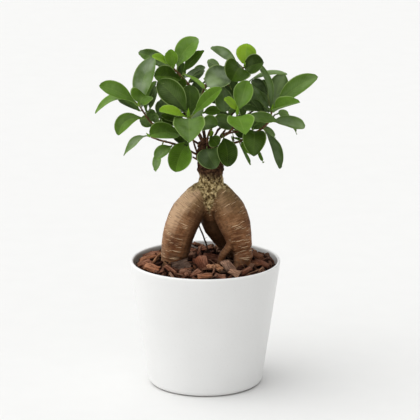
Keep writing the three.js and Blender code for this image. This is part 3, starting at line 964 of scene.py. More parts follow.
trunk = skinned("rootstock", "trunk", TRUNK_VOXEL, 10)
skin = points_of(trunk.data)
outward = normals_of(trunk.data)
limb_place = straightened(skin, LIMBS)
is_limb = {name: limb_place[:, 2] == number for number, name in enumerate(LIMBS)}
height = skin[:, 2]
off_middle = abs(skin[:, 0] - CORK_MIDDLE)
ragged_height = height + 4 * MM * rough(skin, 12 * MM)
up_the_wedge = np.clip((height - CORK_POINT) / (CORK_TOP - CORK_POINT), 0, 1)
wedge = (0.3 + 10 * up_the_wedge**1.5) * MM - off_middle + 1.5 * MM * rough(skin, 6 * MM)
wedge = step(wedge, -1.5 * MM, 1.5 * MM) * step(height, CORK_POINT - 2 * MM, CORK_POINT + 4 * MM)
wedge *= step(skin[:, 1], 9 * MM, 1 * MM)
corky = np.clip(step(ragged_height, NECK_FROM, NECK_TO) + wedge, 0, 1)
knobs = step(ragged_height, KNOBS_FROM, KNOBS_TO)
foot = step(height, FOOT_FROM, FOOT_TO)
store(trunk.data, "limb", limb_place * np.array([1000, 1000, 40]))
store(trunk.data, "zones", np.stack([corky, knobs, foot], axis=1))
print(f"rootstock skin of {len(skin)} points, {corky.mean():.0%} of it cork")

# %% [markdown]
# Noise moves the skin in and out: slow lumps, rings across the legs that get deeper towards the
# feet, cork and pits on the neck, and knobs at its top. The right leg has a waist above its foot
# and a bulge below that. All depths are in millimetres.

# %% Rootstock relief
WAIST_HEIGHT, WAIST_SIZE = 128 * MM, 1.8 * MM
BULGE_BELOW, BULGE_SIZE = 7 * MM, 5 * MM

straight_place = np.stack([limb_place[:, 0], limb_place[:, 1] * 0.16, limb_place[:, 2] * 50 * MM], axis=1)
lumps = rough(skin, 15 * MM, octaves=2)
rings = rough(straight_place, 2.4 * MM, octaves=2)
wrinkles = rough(straight_place, 0.9 * MM)
cork = rough(skin, 3.2 * MM, octaves=3)
pits = step(rough(skin * np.array([1, 1, 1.3]), 1.6 * MM), 0.18, 0.5)
knob = abs(rough(skin * np.array([1, 1, 0.8]), 5.5 * MM, octaves=2))
above_waist = height - WAIST_HEIGHT - 0.25 * (skin[:, 0] - 34 * MM)
waist = np.exp(-((above_waist / WAIST_SIZE) ** 2)) * is_limb["right_leg"]
bulge = np.exp(-(((above_waist + BULGE_BELOW) / BULGE_SIZE) ** 2)) * is_limb["right_leg"]
ring_depth = (0.12 + 0.6 * foot) * (1 - corky) * (1 - 0.7 * is_limb["spur_root"])
push = 0.45 * lumps + ring_depth * rings + 0.06 * wrinkles * (1 - corky)
push += corky * (0.55 * cork - 0.7 * pits) + knobs * (1.5 * knob - 0.35)
push += 0.9 * is_limb["spur_root"] - 1.2 * waist + 0.9 * bulge
move_points(trunk.data, skin + outward * (push * MM)[:, None])
store(trunk.data, "pits", pits * corky)
print(f"the skin moved from {push.min():.1f} to {push.max():.1f} mm")

# %% [markdown]
# Light and shade are painted into the skin's colour. Each point keeps how much painted shade it
# gets, between the legs, under the arch, on the spur root and the rear leg, or below 0 how much
# painted highlight it gets, on the shoulders and left sides that face the light.

# %% Rootstock shade
SPUR_SHADE = 0.36
LIGHT_SIDE = unit(np.array([-0.42, -0.6, 0.68]))

# Painted shade where the legs face each other, under the arch, on the spur root and the rear leg.
inward = -np.sign(skin[:, 0] - CORK_MIDDLE) * outward[:, 0]
shade = step(inward, 0.1, 0.95) * step(height, 192 * MM, 170 * MM)
shade *= np.where(is_limb["left_leg"], 1, 0.45)
shade = np.where(is_limb["rear_leg"], 1, shade)
under_arch = step(skin[:, 1], -2 * MM, 6 * MM) * step(height, 176 * MM, 167 * MM)
under_arch *= step(off_middle, 13 * MM, 9 * MM) * step(outward[:, 1], 0.4, -0.2)
shade = np.maximum(shade, np.maximum(under_arch, SPUR_SHADE * is_limb["spur_root"]))
# Painted highlight on the shoulders and left sides that face the light, kept as shade below 0.
painted_highlight = step(outward @ LIGHT_SIDE, 0.62, 1.0) * step(height, 128 * MM, 158 * MM)
painted_highlight = np.maximum(painted_highlight, 0.3 * step(outward[:, 0], -0.3, -0.9))
painted_highlight *= is_limb["left_leg"] + 0.6 * is_limb["right_leg"]
store(trunk.data, "shade", shade - painted_highlight * (1 - shade))
placed(trunk, "root_skin", "trunk")

# %% [markdown]
# The skin of the legs is smooth brown bark, redder lower down and olive on the shoulders. It gets
# painted shade where the legs face each other and a painted highlight on the shoulders. It carries
# lenticels, the pores of the bark, which are thin pale dashes straight across each leg, left out
# where the painted shade is deep. In the straightened place they are the cells of a Voronoi
# texture, squeezed until each cell's spot is a thin lens. Two layers are used: a few bold ones and
# many fine faint ones.
# The neck is dull khaki cork with dark pits, and its top is dark red-brown.

# %% Rootstock finish
TAN = [(0.3, (0.135, 0.056, 0.022)), (0.5, (0.225, 0.1, 0.041)), (0.72, (0.36, 0.185, 0.088))]
RED_TAN = [(0.3, (0.11, 0.037, 0.014)), (0.52, (0.195, 0.074, 0.028)), (0.72, (0.32, 0.145, 0.065))]
CORK = [(0.36, (0.06, 0.034, 0.012)), (0.48, (0.24, 0.165, 0.068)), (0.6, (0.7, 0.54, 0.28))]
KNOB = [(0.3, (0.016, 0.007, 0.004)), (0.5, (0.05, 0.022, 0.011)), (0.7, (0.16, 0.08, 0.042))]

root = Finish("root_skin", {"Specular IOR Level": 0.09})
limb = root.attribute("limb", out="Vector")
corky_zone, knob_zone, foot_zone = root.parts(root.attribute("zones", out="Vector"))
pitted = root.attribute("pits")
shade = root.attribute("shade")
root_height = root.parts(root.place)[2]
blotch = root.noise(root.place, 75, detail=4)
mottle = root.noise(root.place, 330, detail=5, roughness=0.6)
grain_depth = root.noise(root.place, 1500, detail=3)
waver = root.noise(root.place, 160, detail=2) - 0.5
wavy_limb = root.vector("ADD", limb, root.combine(waver * 2))
hairlines = root.noise(root.stretched(wavy_limb, 0.8, 0.08, 1), 1, detail=3)
streaks = root.noise(root.stretched(limb, 0.06, 0.7, 1), 1, detail=3)

bold_gap, bold_number = root.dashes(wavy_limb, 0.68, 0.04)
fine_gap, fine_number = root.dashes(wavy_limb, 1.1, 0.055)
dash_patches = root.noise(root.stretched(limb, 0.07, 0.05, 0.5), 1, detail=1)
dashed = 1 - root.between(shade, 0.2, 0.34)
bold = root.between(bold_gap, 0.175, 0.11) * root.between(bold_number, 0.34, 0.36)
bold = bold * root.between(dash_patches, 0.36, 0.46) * (1 - corky_zone) * dashed
faint = root.between(fine_gap, 0.22, 0.1) * root.between(fine_number, 0.25, 0.27) * dashed

lower_down = root.between(root_height + blotch * 0.03, 0.18, 0.136)
olive = root.between(root_height + blotch * 0.02, 0.164, 0.192)
leg = root.coats(
    root.mix(lower_down, root.ramp(blotch, TAN), root.ramp(blotch, RED_TAN)),
    (olive * 0.6, (0.23, 0.165, 0.075)),
    (root.between(streaks, 0.52, 0.72) * 0.4, (0.1, 0.048, 0.026)),
    (root.between(mottle, 0.5, 0.66) * 0.5, (0.07, 0.033, 0.018)),
    (root.between(mottle, 0.46, 0.32) * 0.28, (0.4, 0.21, 0.11)),
    # Painted highlight where shade is below 0.
    (root.between(shade, 0.0, -1.0) * 0.85, (0.62, 0.41, 0.25)),
    (root.between(hairlines, 0.49, 0.34) * 0.46, (0.062, 0.026, 0.011)),
    (root.between(hairlines, 0.56, 0.68) * 0.28, (0.5, 0.31, 0.16)),
    # Painted shade where shade is above 0.
    (root.math("MAXIMUM", shade, 0) * 0.78, (0.032, 0.015, 0.006)),
    (faint * 0.42, (0.5, 0.3, 0.16)),
    (bold * 0.95, (0.88, 0.62, 0.38)),
    (foot_zone * root.between(mottle, 0.42, 0.6) * 0.3, (0.3, 0.19, 0.11)),
)
cork_colour = root.mix(pitted * 0.85, root.ramp(mottle, CORK), (0.02, 0.011, 0.007))
knob_colour = root.mix(pitted * 0.7, root.ramp(mottle, KNOB), (0.014, 0.008, 0.006))
skin_colour = root.coats(leg, (corky_zone, cork_colour), (knob_zone, knob_colour))
corky_bumps = mottle * corky_zone
root.bumps((hairlines, 0.5 * MM), (bold, 0.4 * MM), (corky_bumps, 1.8 * MM), (grain_depth, 0.25 * MM))
dress(trunk, root.paint(skin_colour, root.between(corky_zone, 0.0, 1.0, 0.5, 0.92)))
print("rootstock skin finished")

# %% [markdown]
# One hair-thin root hangs in the gap between the legs. It is remade as a thin wavering tube along
# the CAD node's own middle, with the side hairs that such a root throws before it meets soil.


# %% Thin roots
def tube(line, radii, sides=8):
    """A closed tube along a line of points, with a radius for each point."""
    line, radii = np.asarray(line, float), np.asarray(radii, float)
    tangent = unit(np.gradient(line, axis=0))
    start = np.array([0.3, 1, 0.2]) if abs(tangent[0][1]) < 0.9 else np.array([1, 0.2, 0.1])
    points, side = [], start
    for middle, way, radius in zip(line, tangent, radii):
        side = side - way * side.dot(way)
        side = side / np.linalg.norm(side)
        other = np.cross(way, side)
        for i in range(sides):
            angle = math.tau * i / sides
            points.append(middle + radius * (math.cos(angle) * side + math.sin(angle) * other))
    points += [line[0], line[-1]]
    return np.array(points), tube_faces(len(line), sides)


def node_middle(node, slices):
    """The middle of a CAD node that runs mostly up and down, from its top to its bottom."""
    work = merged(node)
    points = np.array([v.co for v in work.verts])
    low, high = points[:, 2].min(), points[:, 2].max()
    heights = np.linspace(high, low, slices)
    reach = (high - low) / slices
    return np.array([points[abs(points[:, 2] - h) < reach].mean(axis=0) for h in heights])


ROOT_RADIUS, ROOT_STEPS = 0.75 * MM, 40
HAIR_ROOT, HAIR_TIP, HAIR_STEPS = 0.22 * MM, 0.08 * MM, 6
FIRST_HAIR, HAIR_EVERY = 14, 3

rng = random.Random(5)
fine = curve(node_middle("aerial_root", 7), ROOT_STEPS)
sway = [rough(fine + 1, 5 * MM), rough(fine + 2, 5 * MM), np.zeros(len(fine))]
fine += np.stack(sway, axis=1) * 0.35 * MM
hairs = Heap()
hairs.add(*tube(fine, ROOT_RADIUS * (1 + 0.15 * rough(fine, 3 * MM))))
for i in range(FIRST_HAIR, ROOT_STEPS, HAIR_EVERY):
    way = Vector((rng.uniform(-1, 1), rng.uniform(-1, 0.6), rng.uniform(-0.7, 0.3))).normalized()
    tip = fine[i] + np.array(way) * rng.uniform(1.5, 4) * MM
    bend = (fine[i] + tip) / 2 + np.array([0, 0, rng.uniform(-0.6, 0.6)]) * MM
    hair = curve([fine[i], bend, tip], HAIR_STEPS)
    hairs.add(*tube(hair, np.linspace(HAIR_ROOT, HAIR_TIP, HAIR_STEPS), 5))

thin = Finish("thin_root", {"Specular IOR Level": 0.3})
thin_mottle = thin.noise(thin.place, 600, detail=3)
thin.bumps((thin_mottle, 0.4 * MM))
thin_tones = [(0.35, (0.03, 0.016, 0.01)), (0.65, (0.09, 0.05, 0.03))]
thin_material = thin.paint(thin.ramp(thin_mottle, thin_tones), 0.8)
placed(hairs.piece("hanging_root", thin_material), "root_skin", "aerial_root")

# %% [markdown]
# The branches are thin woody stems. Each CAD node is skinned like the rootstock, but finer, and
# gets the rings that old leaf stalks leave. Where one wood grows from another it stands a third
# of a millimetre proud, which closes the clearance that the CAD keeps there. Elsewhere it is
# slimmer than the CAD's sturdy stems. How thick the wood is at a vertex is measured by a ray that
# looks for the other side, and the vertex is moved in by a share of that.

# %% Branches
TWIG_VOXEL = 0.42 * MM
STEMS = [name for name in frame["nodes"] if name.startswith("branch_") or name == "leader_stem"]
WOOD_BASE = np.array([2, 2, 220]) * MM
PROUD = 0.34 * MM
JOINT = 1.7 * MM
JOINED = 0.6 * MM
THIN_WOOD, THICK_WOOD = 1.1 * MM, 2.6 * MM
THICKEST = 4.6 * MM
SLIM_THIN, SLIM_THICK = 0.26, 0.66
EVENED_OUT = 8
STUMP_TOP = 229 * MM
YOUNG_FROM, OLD_WITHIN = 75 * MM, 30 * MM
SCAR_SPACING, SCAR_SHARPNESS = 7.5 * MM, 14
OLD_WOOD = [(0.3, (0.026, 0.011, 0.006)), (0.5, (0.095, 0.04, 0.018)), (0.72, (0.26, 0.14, 0.066))]
YOUNG_WOOD = [(0.3, (0.06, 0.032, 0.015)), (0.5, (0.13, 0.072, 0.03)), (0.7, (0.22, 0.14, 0.065))]

twig = Finish("twig_bark", {"Specular IOR Level": 0.12})
twig_mottle = twig.noise(twig.place, 260, detail=5, roughness=0.62)
twig_flecks = twig.noise(twig.place, 1100, detail=2)
wood = twig.coats(
    twig.ramp(twig_mottle, YOUNG_WOOD),
    (twig.attribute("age"), twig.ramp(twig_mottle, OLD_WOOD)),
    (twig.between(twig_flecks, 0.62, 0.72) * 0.4, (0.34, 0.22, 0.13)),
    (twig.attribute("scars") * 0.6, (0.03, 0.015, 0.01)),
)
twig.bumps((twig_mottle, 0.9 * MM), (twig_flecks, 0.2 * MM))
twig_material = twig.paint(wood, twig.between(twig_mottle, 0.3, 0.7, 0.6, 0.85))


def half_thickness(points, normals, faces):
    """Half the way from each vertex through the wood to its other side, evened out."""
    tree = BVHTree.FromPolygons(points.tolist(), faces)
    half = np.empty(len(points))
    for i, (point, normal) in enumerate(zip(points, normals)):
        inside = Vector(point - normal * 0.05 * MM)
        distance = tree.ray_cast(inside, Vector(-normal), 2 * THICKEST)[3]
        half[i] = THICKEST if distance is None else distance / 2
    ends = np.array([[face[i], face[i - 1]] for face in faces for i in range(len(face))])
    for _ in range(EVENED_OUT):
        total, count = half.copy(), np.ones(len(half))
        np.add.at(total, ends[:, 0], half[ends[:, 1]])
        np.add.at(count, ends[:, 0], 1)
        half = total / count
    return half


for node in STEMS:
    stem = skinned("wood_" + node.replace("branch_", ""), node, TWIG_VOXEL, 4)
    bark_points = points_of(stem.data)
    away = normals_of(stem.data)
    from_base = np.linalg.norm(bark_points - WOOD_BASE, axis=1)
    wander = from_base + 1.2 * MM * rough(bark_points, 6 * MM)
    ring = np.abs(np.sin(wander / SCAR_SPACING * math.pi)) ** SCAR_SHARPNESS
    others = search_tree([frame["nodes"][other] for other in [*STEMS, "trunk"] if other != node])
    gaps = [others.find_nearest(Vector(p), JOINT)[3] for p in bark_points]
    joined = step(np.array([JOINT if gap is None else gap for gap in gaps]), JOINT, JOINED)
    half = half_thickness(bark_points, away, [list(face.vertices) for face in stem.data.polygons])
    share = SLIM_THIN + (SLIM_THICK - SLIM_THIN) * step(half, THIN_WOOD, THICK_WOOD)
    if node == "leader_stem":
        joined *= 1 - step(bark_points[:, 2], STUMP_TOP, STUMP_TOP + 4 * MM)
    lift = PROUD * joined - share * half * (1 - joined)
    lift += (0.2 * rough(bark_points, 2.2 * MM, octaves=2) + 0.18 * ring) * MM
    move_points(stem.data, bark_points + away * lift[:, None])
    store(stem.data, "scars", ring)
    store(stem.data, "age", step(from_base, YOUNG_FROM, OLD_WITHIN))
    dress(stem, twig_material)
    placed(stem, "twig_bark", node)

# %% [markdown]
# A fig's leaf is leathery: a short stalk, a blade that is widest beyond its middle, folded a
# little up along a pale midrib, with a blunt tip and a thin pale margin. The CAD leaves are
# coarse strips of eleven sections of four corners: two margins, a top and a bottom. They say
# exactly where each leaf is, so each one is read back section by section and a fine blade is
# drawn through them, with a rounded margin, a groove on top and a rib below.


# %% Read a CAD leaf
STALK_RADIUS = 0.65 * MM
TIP_CORNER = 0.26 * MM
SECTION_PLACES = [0, 0.1, 0.24, 0.4, 0.56, 0.72, 0.86, 0.95, 1]
LAST_SECTION = 10
NARROW, LEAST_HALF = 2 * MM, 1.05 * MM
BELLY = 0.56
wood_skin = search_tree([o for o in bpy.data.objects if o.name.startswith(("wood_", "rootstock"))])


def tip_of(work):
    """The middle point of a leaf's tip: it joins four corners, each just off it."""
    for vertex in work.verts:
        reach = [edge.calc_length() for edge in vertex.link_edges]
        if len(reach) == 4 and all(abs(r - TIP_CORNER) < 0.02 * MM for r in reach):
            return vertex
    raise ValueError("no tip found")


def sections_of(work):
    """The four corners of each whole section, from the tip back towards the stalk."""
    tip = tip_of(work)
    ring = [edge.other_vert(tip) for edge in tip.link_edges]
    seen = {tip, *ring}
    rings = []
    while len(ring) == 4:
        rings.append([np.array(v.co) for v in ring])
        ring = list({edge.other_vert(v) for v in ring for edge in v.link_edges} - seen)
        seen |= set(ring)
    return rings


def row(middle, half=None, up=None, rise=0.0, place=0.0):
    """One section of a leaf: its middle, half width, up, margin's rise and place on the blade."""
    return {"middle": np.array(middle), "half": half, "up": up, "rise": rise, "place": place}


def plan_from_node(node):
    """The rows of a CAD leaf from the wood to the tip."""
    rows = []
    for number, corners in enumerate(sections_of(merged(node))):
        section = LAST_SECTION - number
        place = SECTION_PLACES[section - 2] if section > 1 else 0.0
        pairs = [(i, j) for i in range(4) for j in range(i)]
        i, j = max(pairs, key=lambda pair: np.linalg.norm(corners[pair[0]] - corners[pair[1]]))
        if section in (1, 2, LAST_SECTION) or np.linalg.norm(corners[i] - corners[j]) < NARROW:
            rows.append(row(sum(corners) / 4, place=place))
            continue
        top, bottom = [corners[k] for k in range(4) if k not in (i, j)]
        middle = (top + bottom) / 2
        up = unit(top - bottom)
        lift = (corners[i] + corners[j]) / 2 - middle
        up = up * np.sign(lift.dot(up))
        rows.append(row(middle, (corners[i] - corners[j]) / 2, up, lift.dot(up), place))
    rows = rows[::-1]
    first, second = rows[0]["middle"], rows[1]["middle"]
    foot = first * 2 - second if len(rows) == LAST_SECTION else into_wood(first)
    return settle_rows([row(foot), *rows])


def into_wood(point, deep=0.7 * MM):
    """The nearest place on the wood, a little under its skin."""
    spot, normal, _, _ = wood_skin.find_nearest(Vector(point))
    return np.array(spot - normal * deep)


def settle_rows(rows):
    """Gives the narrow rows a width, and makes every row's left the same side."""
    wide = [r for r in rows if r["half"] is not None]
    way = unit(rows[-1]["middle"] - rows[0]["middle"])
    for r in wide:
        if np.cross(way, r["up"]).dot(r["half"]) < 0:
            r["half"] = -r["half"]
    for number, r in enumerate(rows):
        if r["half"] is None:
            near = wide[0] if number < len(rows) / 2 else wide[-1]
            narrow = STALK_RADIUS if number < len(rows) / 2 else TIP_CORNER
            r["half"] = unit(near["half"]) * narrow
            r["up"] = near["up"]
    return rows


def plan_from_rule(start, tip, width, face, bow, fold=18, stalk_from=None):
    """The rows of a leaf that no CAD node shows, by the rule that the CAD leaves follow."""
    start, tip, bow = [np.array(v, float) for v in (start, tip, bow)]
    middle = (start + tip) / 2 + bow * 2
    rise = math.radians(fold)
    rows = []
    for place in SECTION_PLACES:
        spot = start * (1 - place) ** 2 + middle * 2 * place * (1 - place) + tip * place**2
        way = unit((middle - start) * (1 - place) + (tip - middle) * place)
        up = np.array(face, float)
        up = unit(up - way * up.dot(way))
        if place < BELLY:
            share = math.sin(math.pi / 2 * place / BELLY) ** 1.15
        else:
            share = max(0.0, math.cos(math.pi / 2 * (place - BELLY) / (1 - BELLY))) ** 0.7
        half = width / 2 * share
        if half < LEAST_HALF:
            rows.append(row(spot, place=place))
            continue
        side = np.cross(way, up) * half * math.cos(rise)
        rows.append(row(spot, side, up, half * math.sin(rise), place))
    foot = into_wood(start) if stalk_from is None else np.array(stalk_from)
    return settle_rows([row(foot), row(foot * 0.45 + start * 0.55), *rows])


print("leaf plans ready")

# %% [markdown]
# Every leaf is one closed strip that starts as a round stalk and flattens into the blade. Its
# outline is kept as a share of a blunt-ended envelope, which turns well at both ends. Each vertex
# keeps where it is on the blade and the leaf's own look: its tone from old dark green to young
# yellow-green, how much painted grey sheen it gets, and a number of its own.

# %% Grow a leaf
ACROSS = np.array([-1, -0.95, -0.82, -0.6, -0.36, -0.15, 0, 0.15, 0.36, 0.6, 0.82, 0.95, 1])
AROUND = 2 * len(ACROSS) - 2
STALK_STEPS, BLADE_STEPS = 4, 21
BLADE_HALF_THICKNESS = 0.22 * MM
RIB_WIDTH, RIB, GROOVE = 0.7 * MM, 0.34 * MM, 0.16 * MM
PLAIN_LOBES = 0.7
PAST_TIP = 1.002


def envelope(place):
    """A blunt-ended outline: the half width at each place, apart from a leaf's own share."""
    return (place + 0.028) * (1 - place + 0.0015) ** 0.7


def round_end(place, blunt):
    """Widens the outer half of a leaf to a rounder end, or for blunt below 0 draws it to a point."""
    outer = np.maximum(place, BELLY)
    return ((PAST_TIP - outer) / (PAST_TIP - BELLY)) ** (-0.15 * blunt)


def grow_leaf(rows, look, number, blunt=1.0, lobes=PLAIN_LOBES, girth=1.0, flatten=0.0):
    """Points, faces and vertex values of one fine leaf. look is tone and greyness, lobes are mm."""
    rng = random.Random(number)
    middle = np.array([r["middle"] for r in rows])
    chord_place = np.array([r["place"] for r in rows])[:, None]
    root_spot = middle[np.flatnonzero(chord_place[:, 0] > 0)[0] - 1]
    chord = root_spot + (middle[-1] - root_spot) * chord_place
    middle = np.where(chord_place > 0, middle + (chord - middle) * flatten, middle)
    half = np.array([r["half"] for r in rows])
    width = np.linalg.norm(half, axis=1)
    knots = np.concatenate([[0], np.cumsum(np.linalg.norm(np.diff(middle, axis=0), axis=1))])
    place = np.array([r["place"] for r in rows])
    blade_start = knots[np.flatnonzero(place > 0)[0] - 1]
    even = np.linspace(0, 1, BLADE_STEPS + 1)
    eased = 0.55 * even + 0.45 * (0.5 - 0.5 * np.cos(math.pi * even))
    stalk_spots = np.linspace(0, blade_start, STALK_STEPS, endpoint=False)
    spots = np.concatenate([stalk_spots, blade_start + (knots[-1] - blade_start) * eased])
    share = through(knots, width / envelope(place), spots)
    fine_place = np.clip(np.interp(spots, knots, place), 0, 1)
    outline = share * envelope(fine_place) * round_end(fine_place, blunt) * girth
    more_lobes = lobes - PLAIN_LOBES
    outline *= 1 + 0.08 * more_lobes * np.exp(-(((fine_place - 0.36) / 0.2) ** 2))
    outline *= 1 + more_lobes * np.exp(-((fine_place / 0.17) ** 2))
    wide = np.where(spots < blade_start, STALK_RADIUS, np.maximum(outline, TIP_CORNER))
    line = through(knots, middle, spots)
    back = unit(np.gradient(line, axis=0)) * -0.8 * lobes * MM
    back *= (step(fine_place, 0.0, 0.08) * (1 - step(fine_place, 0.12, 0.7)))[:, None]
    up = unit(through(knots, np.array([r["up"] for r in rows]), spots))
    across = unit(through(knots, unit(half), spots))
    slope = np.array([r["rise"] for r in rows]) / width
    slope[-1] = slope[-2]
    rise = np.interp(spots, knots, slope) * wide
    flat = step(fine_place, 0.0, 0.1)
    phase = [rng.uniform(0, math.tau) for _ in range(3)]
    waves = rng.uniform(0.15, 0.5) * MM
    points, where = [], []
    for i, on_blade in enumerate(spots >= blade_start):
        thick = STALK_RADIUS * (1 - flat[i]) + BLADE_HALF_THICKNESS * flat[i]
        thick *= 1 - 0.5 * step(fine_place[i], 0.9, 1.0)
        along = fine_place[i] if on_blade else spots[i] / blade_start - 1
        for side, order in ((1, ACROSS), (-1, ACROSS[-2:0:-1])):
            for v in order:
                lens = math.sqrt(max(0.0, 1 - abs(v) ** (2 + 5 * flat[i])))
                rib = math.exp(-((v * wide[i] / RIB_WIDTH) ** 2)) * flat[i] * (1 - 0.8 * fine_place[i])
                rib *= -GROOVE if side > 0 else RIB
                ripple = waves * math.sin(9 * fine_place[i] + phase[0 if v < 0 else 1]) * v * v * flat[i]
                lift = rise[i] * (0.35 * abs(v) + 0.65 * v * v) + ripple
                depth = side * (lens * thick + (rib if side < 0 else 0)) + (rib if side > 0 else 0)
                points.append(line[i] + across[i] * v * wide[i] + up[i] * (lift + depth) + back[i] * v * v)
                where.append((along, v, side))
    points += [line[0], line[-1] + unit(line[-1] - line[-2]) * 0.2 * MM]
    where += [(-1, 0, 0), (1, 0, 0)]
    looks = np.tile([look[0], look[1], rng.random()], (len(points), 1))
    return np.array(points), tube_faces(len(spots), AROUND, inside_out=True), np.array(where), looks


print("each leaf has about", AROUND * (STALK_STEPS + BLADE_STEPS) * 2, "triangles")

# %% [markdown]
# The upper side is green with a soft gloss, a pale midrib, faint side veins and a thin pale margin,
# the underside paler and matt. Young leaves are yellow-green, old ones dark. Some get a painted grey
# sheen and patches of painted highlight, in place of the reflection of the bright surround, and one
# half of each leaf is painted lighter and the other darker, as light falls across the fold. The side
# veins are drawn in the leaf's own coordinates: they leave the midrib at a slant, so their stripes
# follow place minus width.

# %% Leaf finish
GREENS = [
    (0.0, (0.018, 0.038, 0.0015)),
    (0.2, (0.038, 0.08, 0.004)),
    (0.4, (0.076, 0.155, 0.011)),
    (0.6, (0.118, 0.238, 0.019)),
    (0.8, (0.182, 0.345, 0.023)),
    (1.0, (0.29, 0.48, 0.025)),
]
leaf = Finish("fig_leaf", {"Specular IOR Level": 0.08})
place_on_blade, over_blade, face_side = leaf.parts(leaf.attribute("blade", out="Vector"))
leaf_tone, greyness, own_number = leaf.parts(leaf.attribute("look", out="Vector"))
from_rib = abs(over_blade)
cells = leaf.noise(leaf.place, 160, detail=3)
fine_cells = leaf.noise(leaf.place, 1400, detail=2)
clouds = leaf.noise(leaf.place, 70, detail=2)
patches = leaf.noise(leaf.place, 42, detail=1)
# Painted light and shade: one half of each leaf lighter, the other darker, as light falls across its fold.
painted_half_shade = leaf.between(over_blade, -0.06, 0.06, -1.0, 1.0) * (own_number - 0.5)
tone_here = leaf_tone + (cells - 0.5) * 0.25 + (clouds - 0.5) * 0.3 + painted_half_shade * 0.15
# Painted grey sheen and patches of painted highlight, in place of the reflection of the bright surround.
grey_sheen = leaf.between(clouds, 0.35, 0.6, 0.3, 1.0) * leaf.between(from_rib, 1.0, 0.3, 0.35, 1.0)
sheen = leaf.between(patches, 0.5, 0.64) * leaf.between(from_rib, 0.92, 0.3)
vein_wave = leaf.math("SINE", (place_on_blade * 17 - from_rib * 3.2 + own_number * 6) * math.pi, 0)
side_vein = leaf.between(abs(vein_wave), 0.94, 1.0) * leaf.between(from_rib, 0.95, 0.6)
side_vein = side_vein * leaf.between(place_on_blade, 0.93, 0.75)
midrib = leaf.between(from_rib - ((1 - place_on_blade) * 0.035 + 0.03), 0.025, -0.03)
margin = leaf.between(from_rib, 0.9, 0.95)
green = leaf.coats(
    leaf.ramp(tone_here, GREENS),
    (greyness * grey_sheen, (0.28, 0.35, 0.22)),
    (sheen * (greyness + 0.25) * 0.4, (0.28, 0.39, 0.16)),
)
light_green = leaf.mix(0.5, green, (0.33, 0.45, 0.1))
upper = leaf.coats(
    green,
    (side_vein * 0.2, light_green),
    (midrib * (leaf_tone * 0.35 + 0.1), light_green),
)
upper = leaf.mix(margin * 0.7, upper, leaf.mix(0.4, (0.42, 0.55, 0.2), upper))
under = leaf.coats(
    upper,
    (leaf_tone * 0.2 + 0.4, (0.2, 0.3, 0.1)),
    (midrib * 0.4, (0.36, 0.44, 0.18)),
)
on_top = leaf.between(face_side, -0.2, 0.4)
on_stalk = leaf.between(place_on_blade, 0.03, -0.05)
leaf_colour = leaf.mix(on_stalk * 0.85, leaf.mix(on_top, under, upper), (0.2, 0.26, 0.06))
quilt = side_vein * -0.3 + cells * 0.5
leaf.bumps((clouds, 2.5 * MM), (quilt, 0.8 * MM), (fine_cells, 0.06 * MM))
gloss = leaf.between(on_top, 0.0, 1.0, 0.62, 0.36) + (cells - 0.5) * 0.12
leaf_material = leaf.paint(leaf_colour, gloss)
print("leaf finish ready")

# %% [markdown]
# Tones judged leaf by leaf from how each one looks in the photograph: its tone from 0, old and
# dark, to 1, young and bright, and how much painted grey sheen it gets. One piece holds the leaves
# of a shoot.

# %% Leaves of the CAD
LOOKS = {
    "far_left": [
        (0.5, 0.12), (0.68, 0.25), (0.42, 0.95), (0.42, 0.05), (0.31, 0.0),
        (0.3, 0.1), (0.46, 0.1), (0.4, 0.25), (0.4, 0.05), (0.52, 0.0),
    ],
    "low_left": [(0.5, 0.7), (0.55, 0.35), (0.58, 0.5)],
    "front_left": [(0.1, 0.05), (0.12, 0.04), (0.47, 0.0), (0.88, 0.0), (0.41, 0.2), (0.26, 0.15)],
    "top_left": [
        (0.62, 0.25), (0.8, 0.0), (0.68, 0.0), (0.3, 0.3), (0.2, 0.0), (0.22, 0.0), (0.3, 0.8),
    ],
    "top_right": [(0.18, 1.0), (0.2, 0.25), (0.32, 0.7), (0.95, 0.0), (0.02, 0.0), (0.12, 0.0)],
    "front_right": [(0.5, 0.12), (0.58, 0.05), (0.3, 0.15)],
    "far_right": [
        (0.38, 0.15), (0.22, 0.35), (0.28, 0.35), (0.58, 0.05),
        (0.38, 0.5), (0.19, 0.0), (0.15, 0.25), (0.42, 0.1),
    ],
    "low_front_left": [(0.14, 0.3), (0.22, 0.0)],
    "low_front_right": [(0.06, 0.0)],
}
# Leaves whose outline differs: blunt above 1 is a rounder end and below 0 a drawn-out tip, lobes
# are the round shoulders of a heart, girth widens or narrows the whole leaf, and flatten takes out
# its arch.
SHAPES = {
    "leaf_far_left_1": {"girth": 0.9},
    "leaf_far_left_2": {"blunt": -0.6, "girth": 1.0},
    "leaf_far_left_6": {"girth": 0.78},
    "leaf_far_left_7": {"blunt": 0.2, "girth": 0.88},
    "leaf_low_left_1": {"blunt": -2.0, "girth": 0.9, "flatten": 0.35},
    "leaf_front_left_5": {"blunt": -1.6, "lobes": 3.0, "flatten": 0.9, "girth": 0.93},
    "leaf_front_right_2": {"blunt": -1.8, "lobes": 2.3, "flatten": 0.9, "girth": 0.9},
    "leaf_front_left_6": {"girth": 1.08},
    "leaf_top_right_3": {"flatten": 0.5},
    "leaf_top_right_4": {"lobes": 1.5},
    "leaf_top_left_1": {"girth": 1.08},
    "leaf_top_left_7": {"girth": 0.85},
    "leaf_far_right_5": {"flatten": 0.5},
    "leaf_top_left_6": {"blunt": -0.6},
    "leaf_far_right_6": {"blunt": 0.2},
}
SHAPED_STEPS = 12
outlines = []


def add_leaf(heap, points, faces, where, own):
    """Adds a leaf to a heap, and keeps some of its points, so that later ones can stay clear."""
    heap.add(points, faces, blade=where, look=own)
    outlines.extend(points[::SHAPED_STEPS])


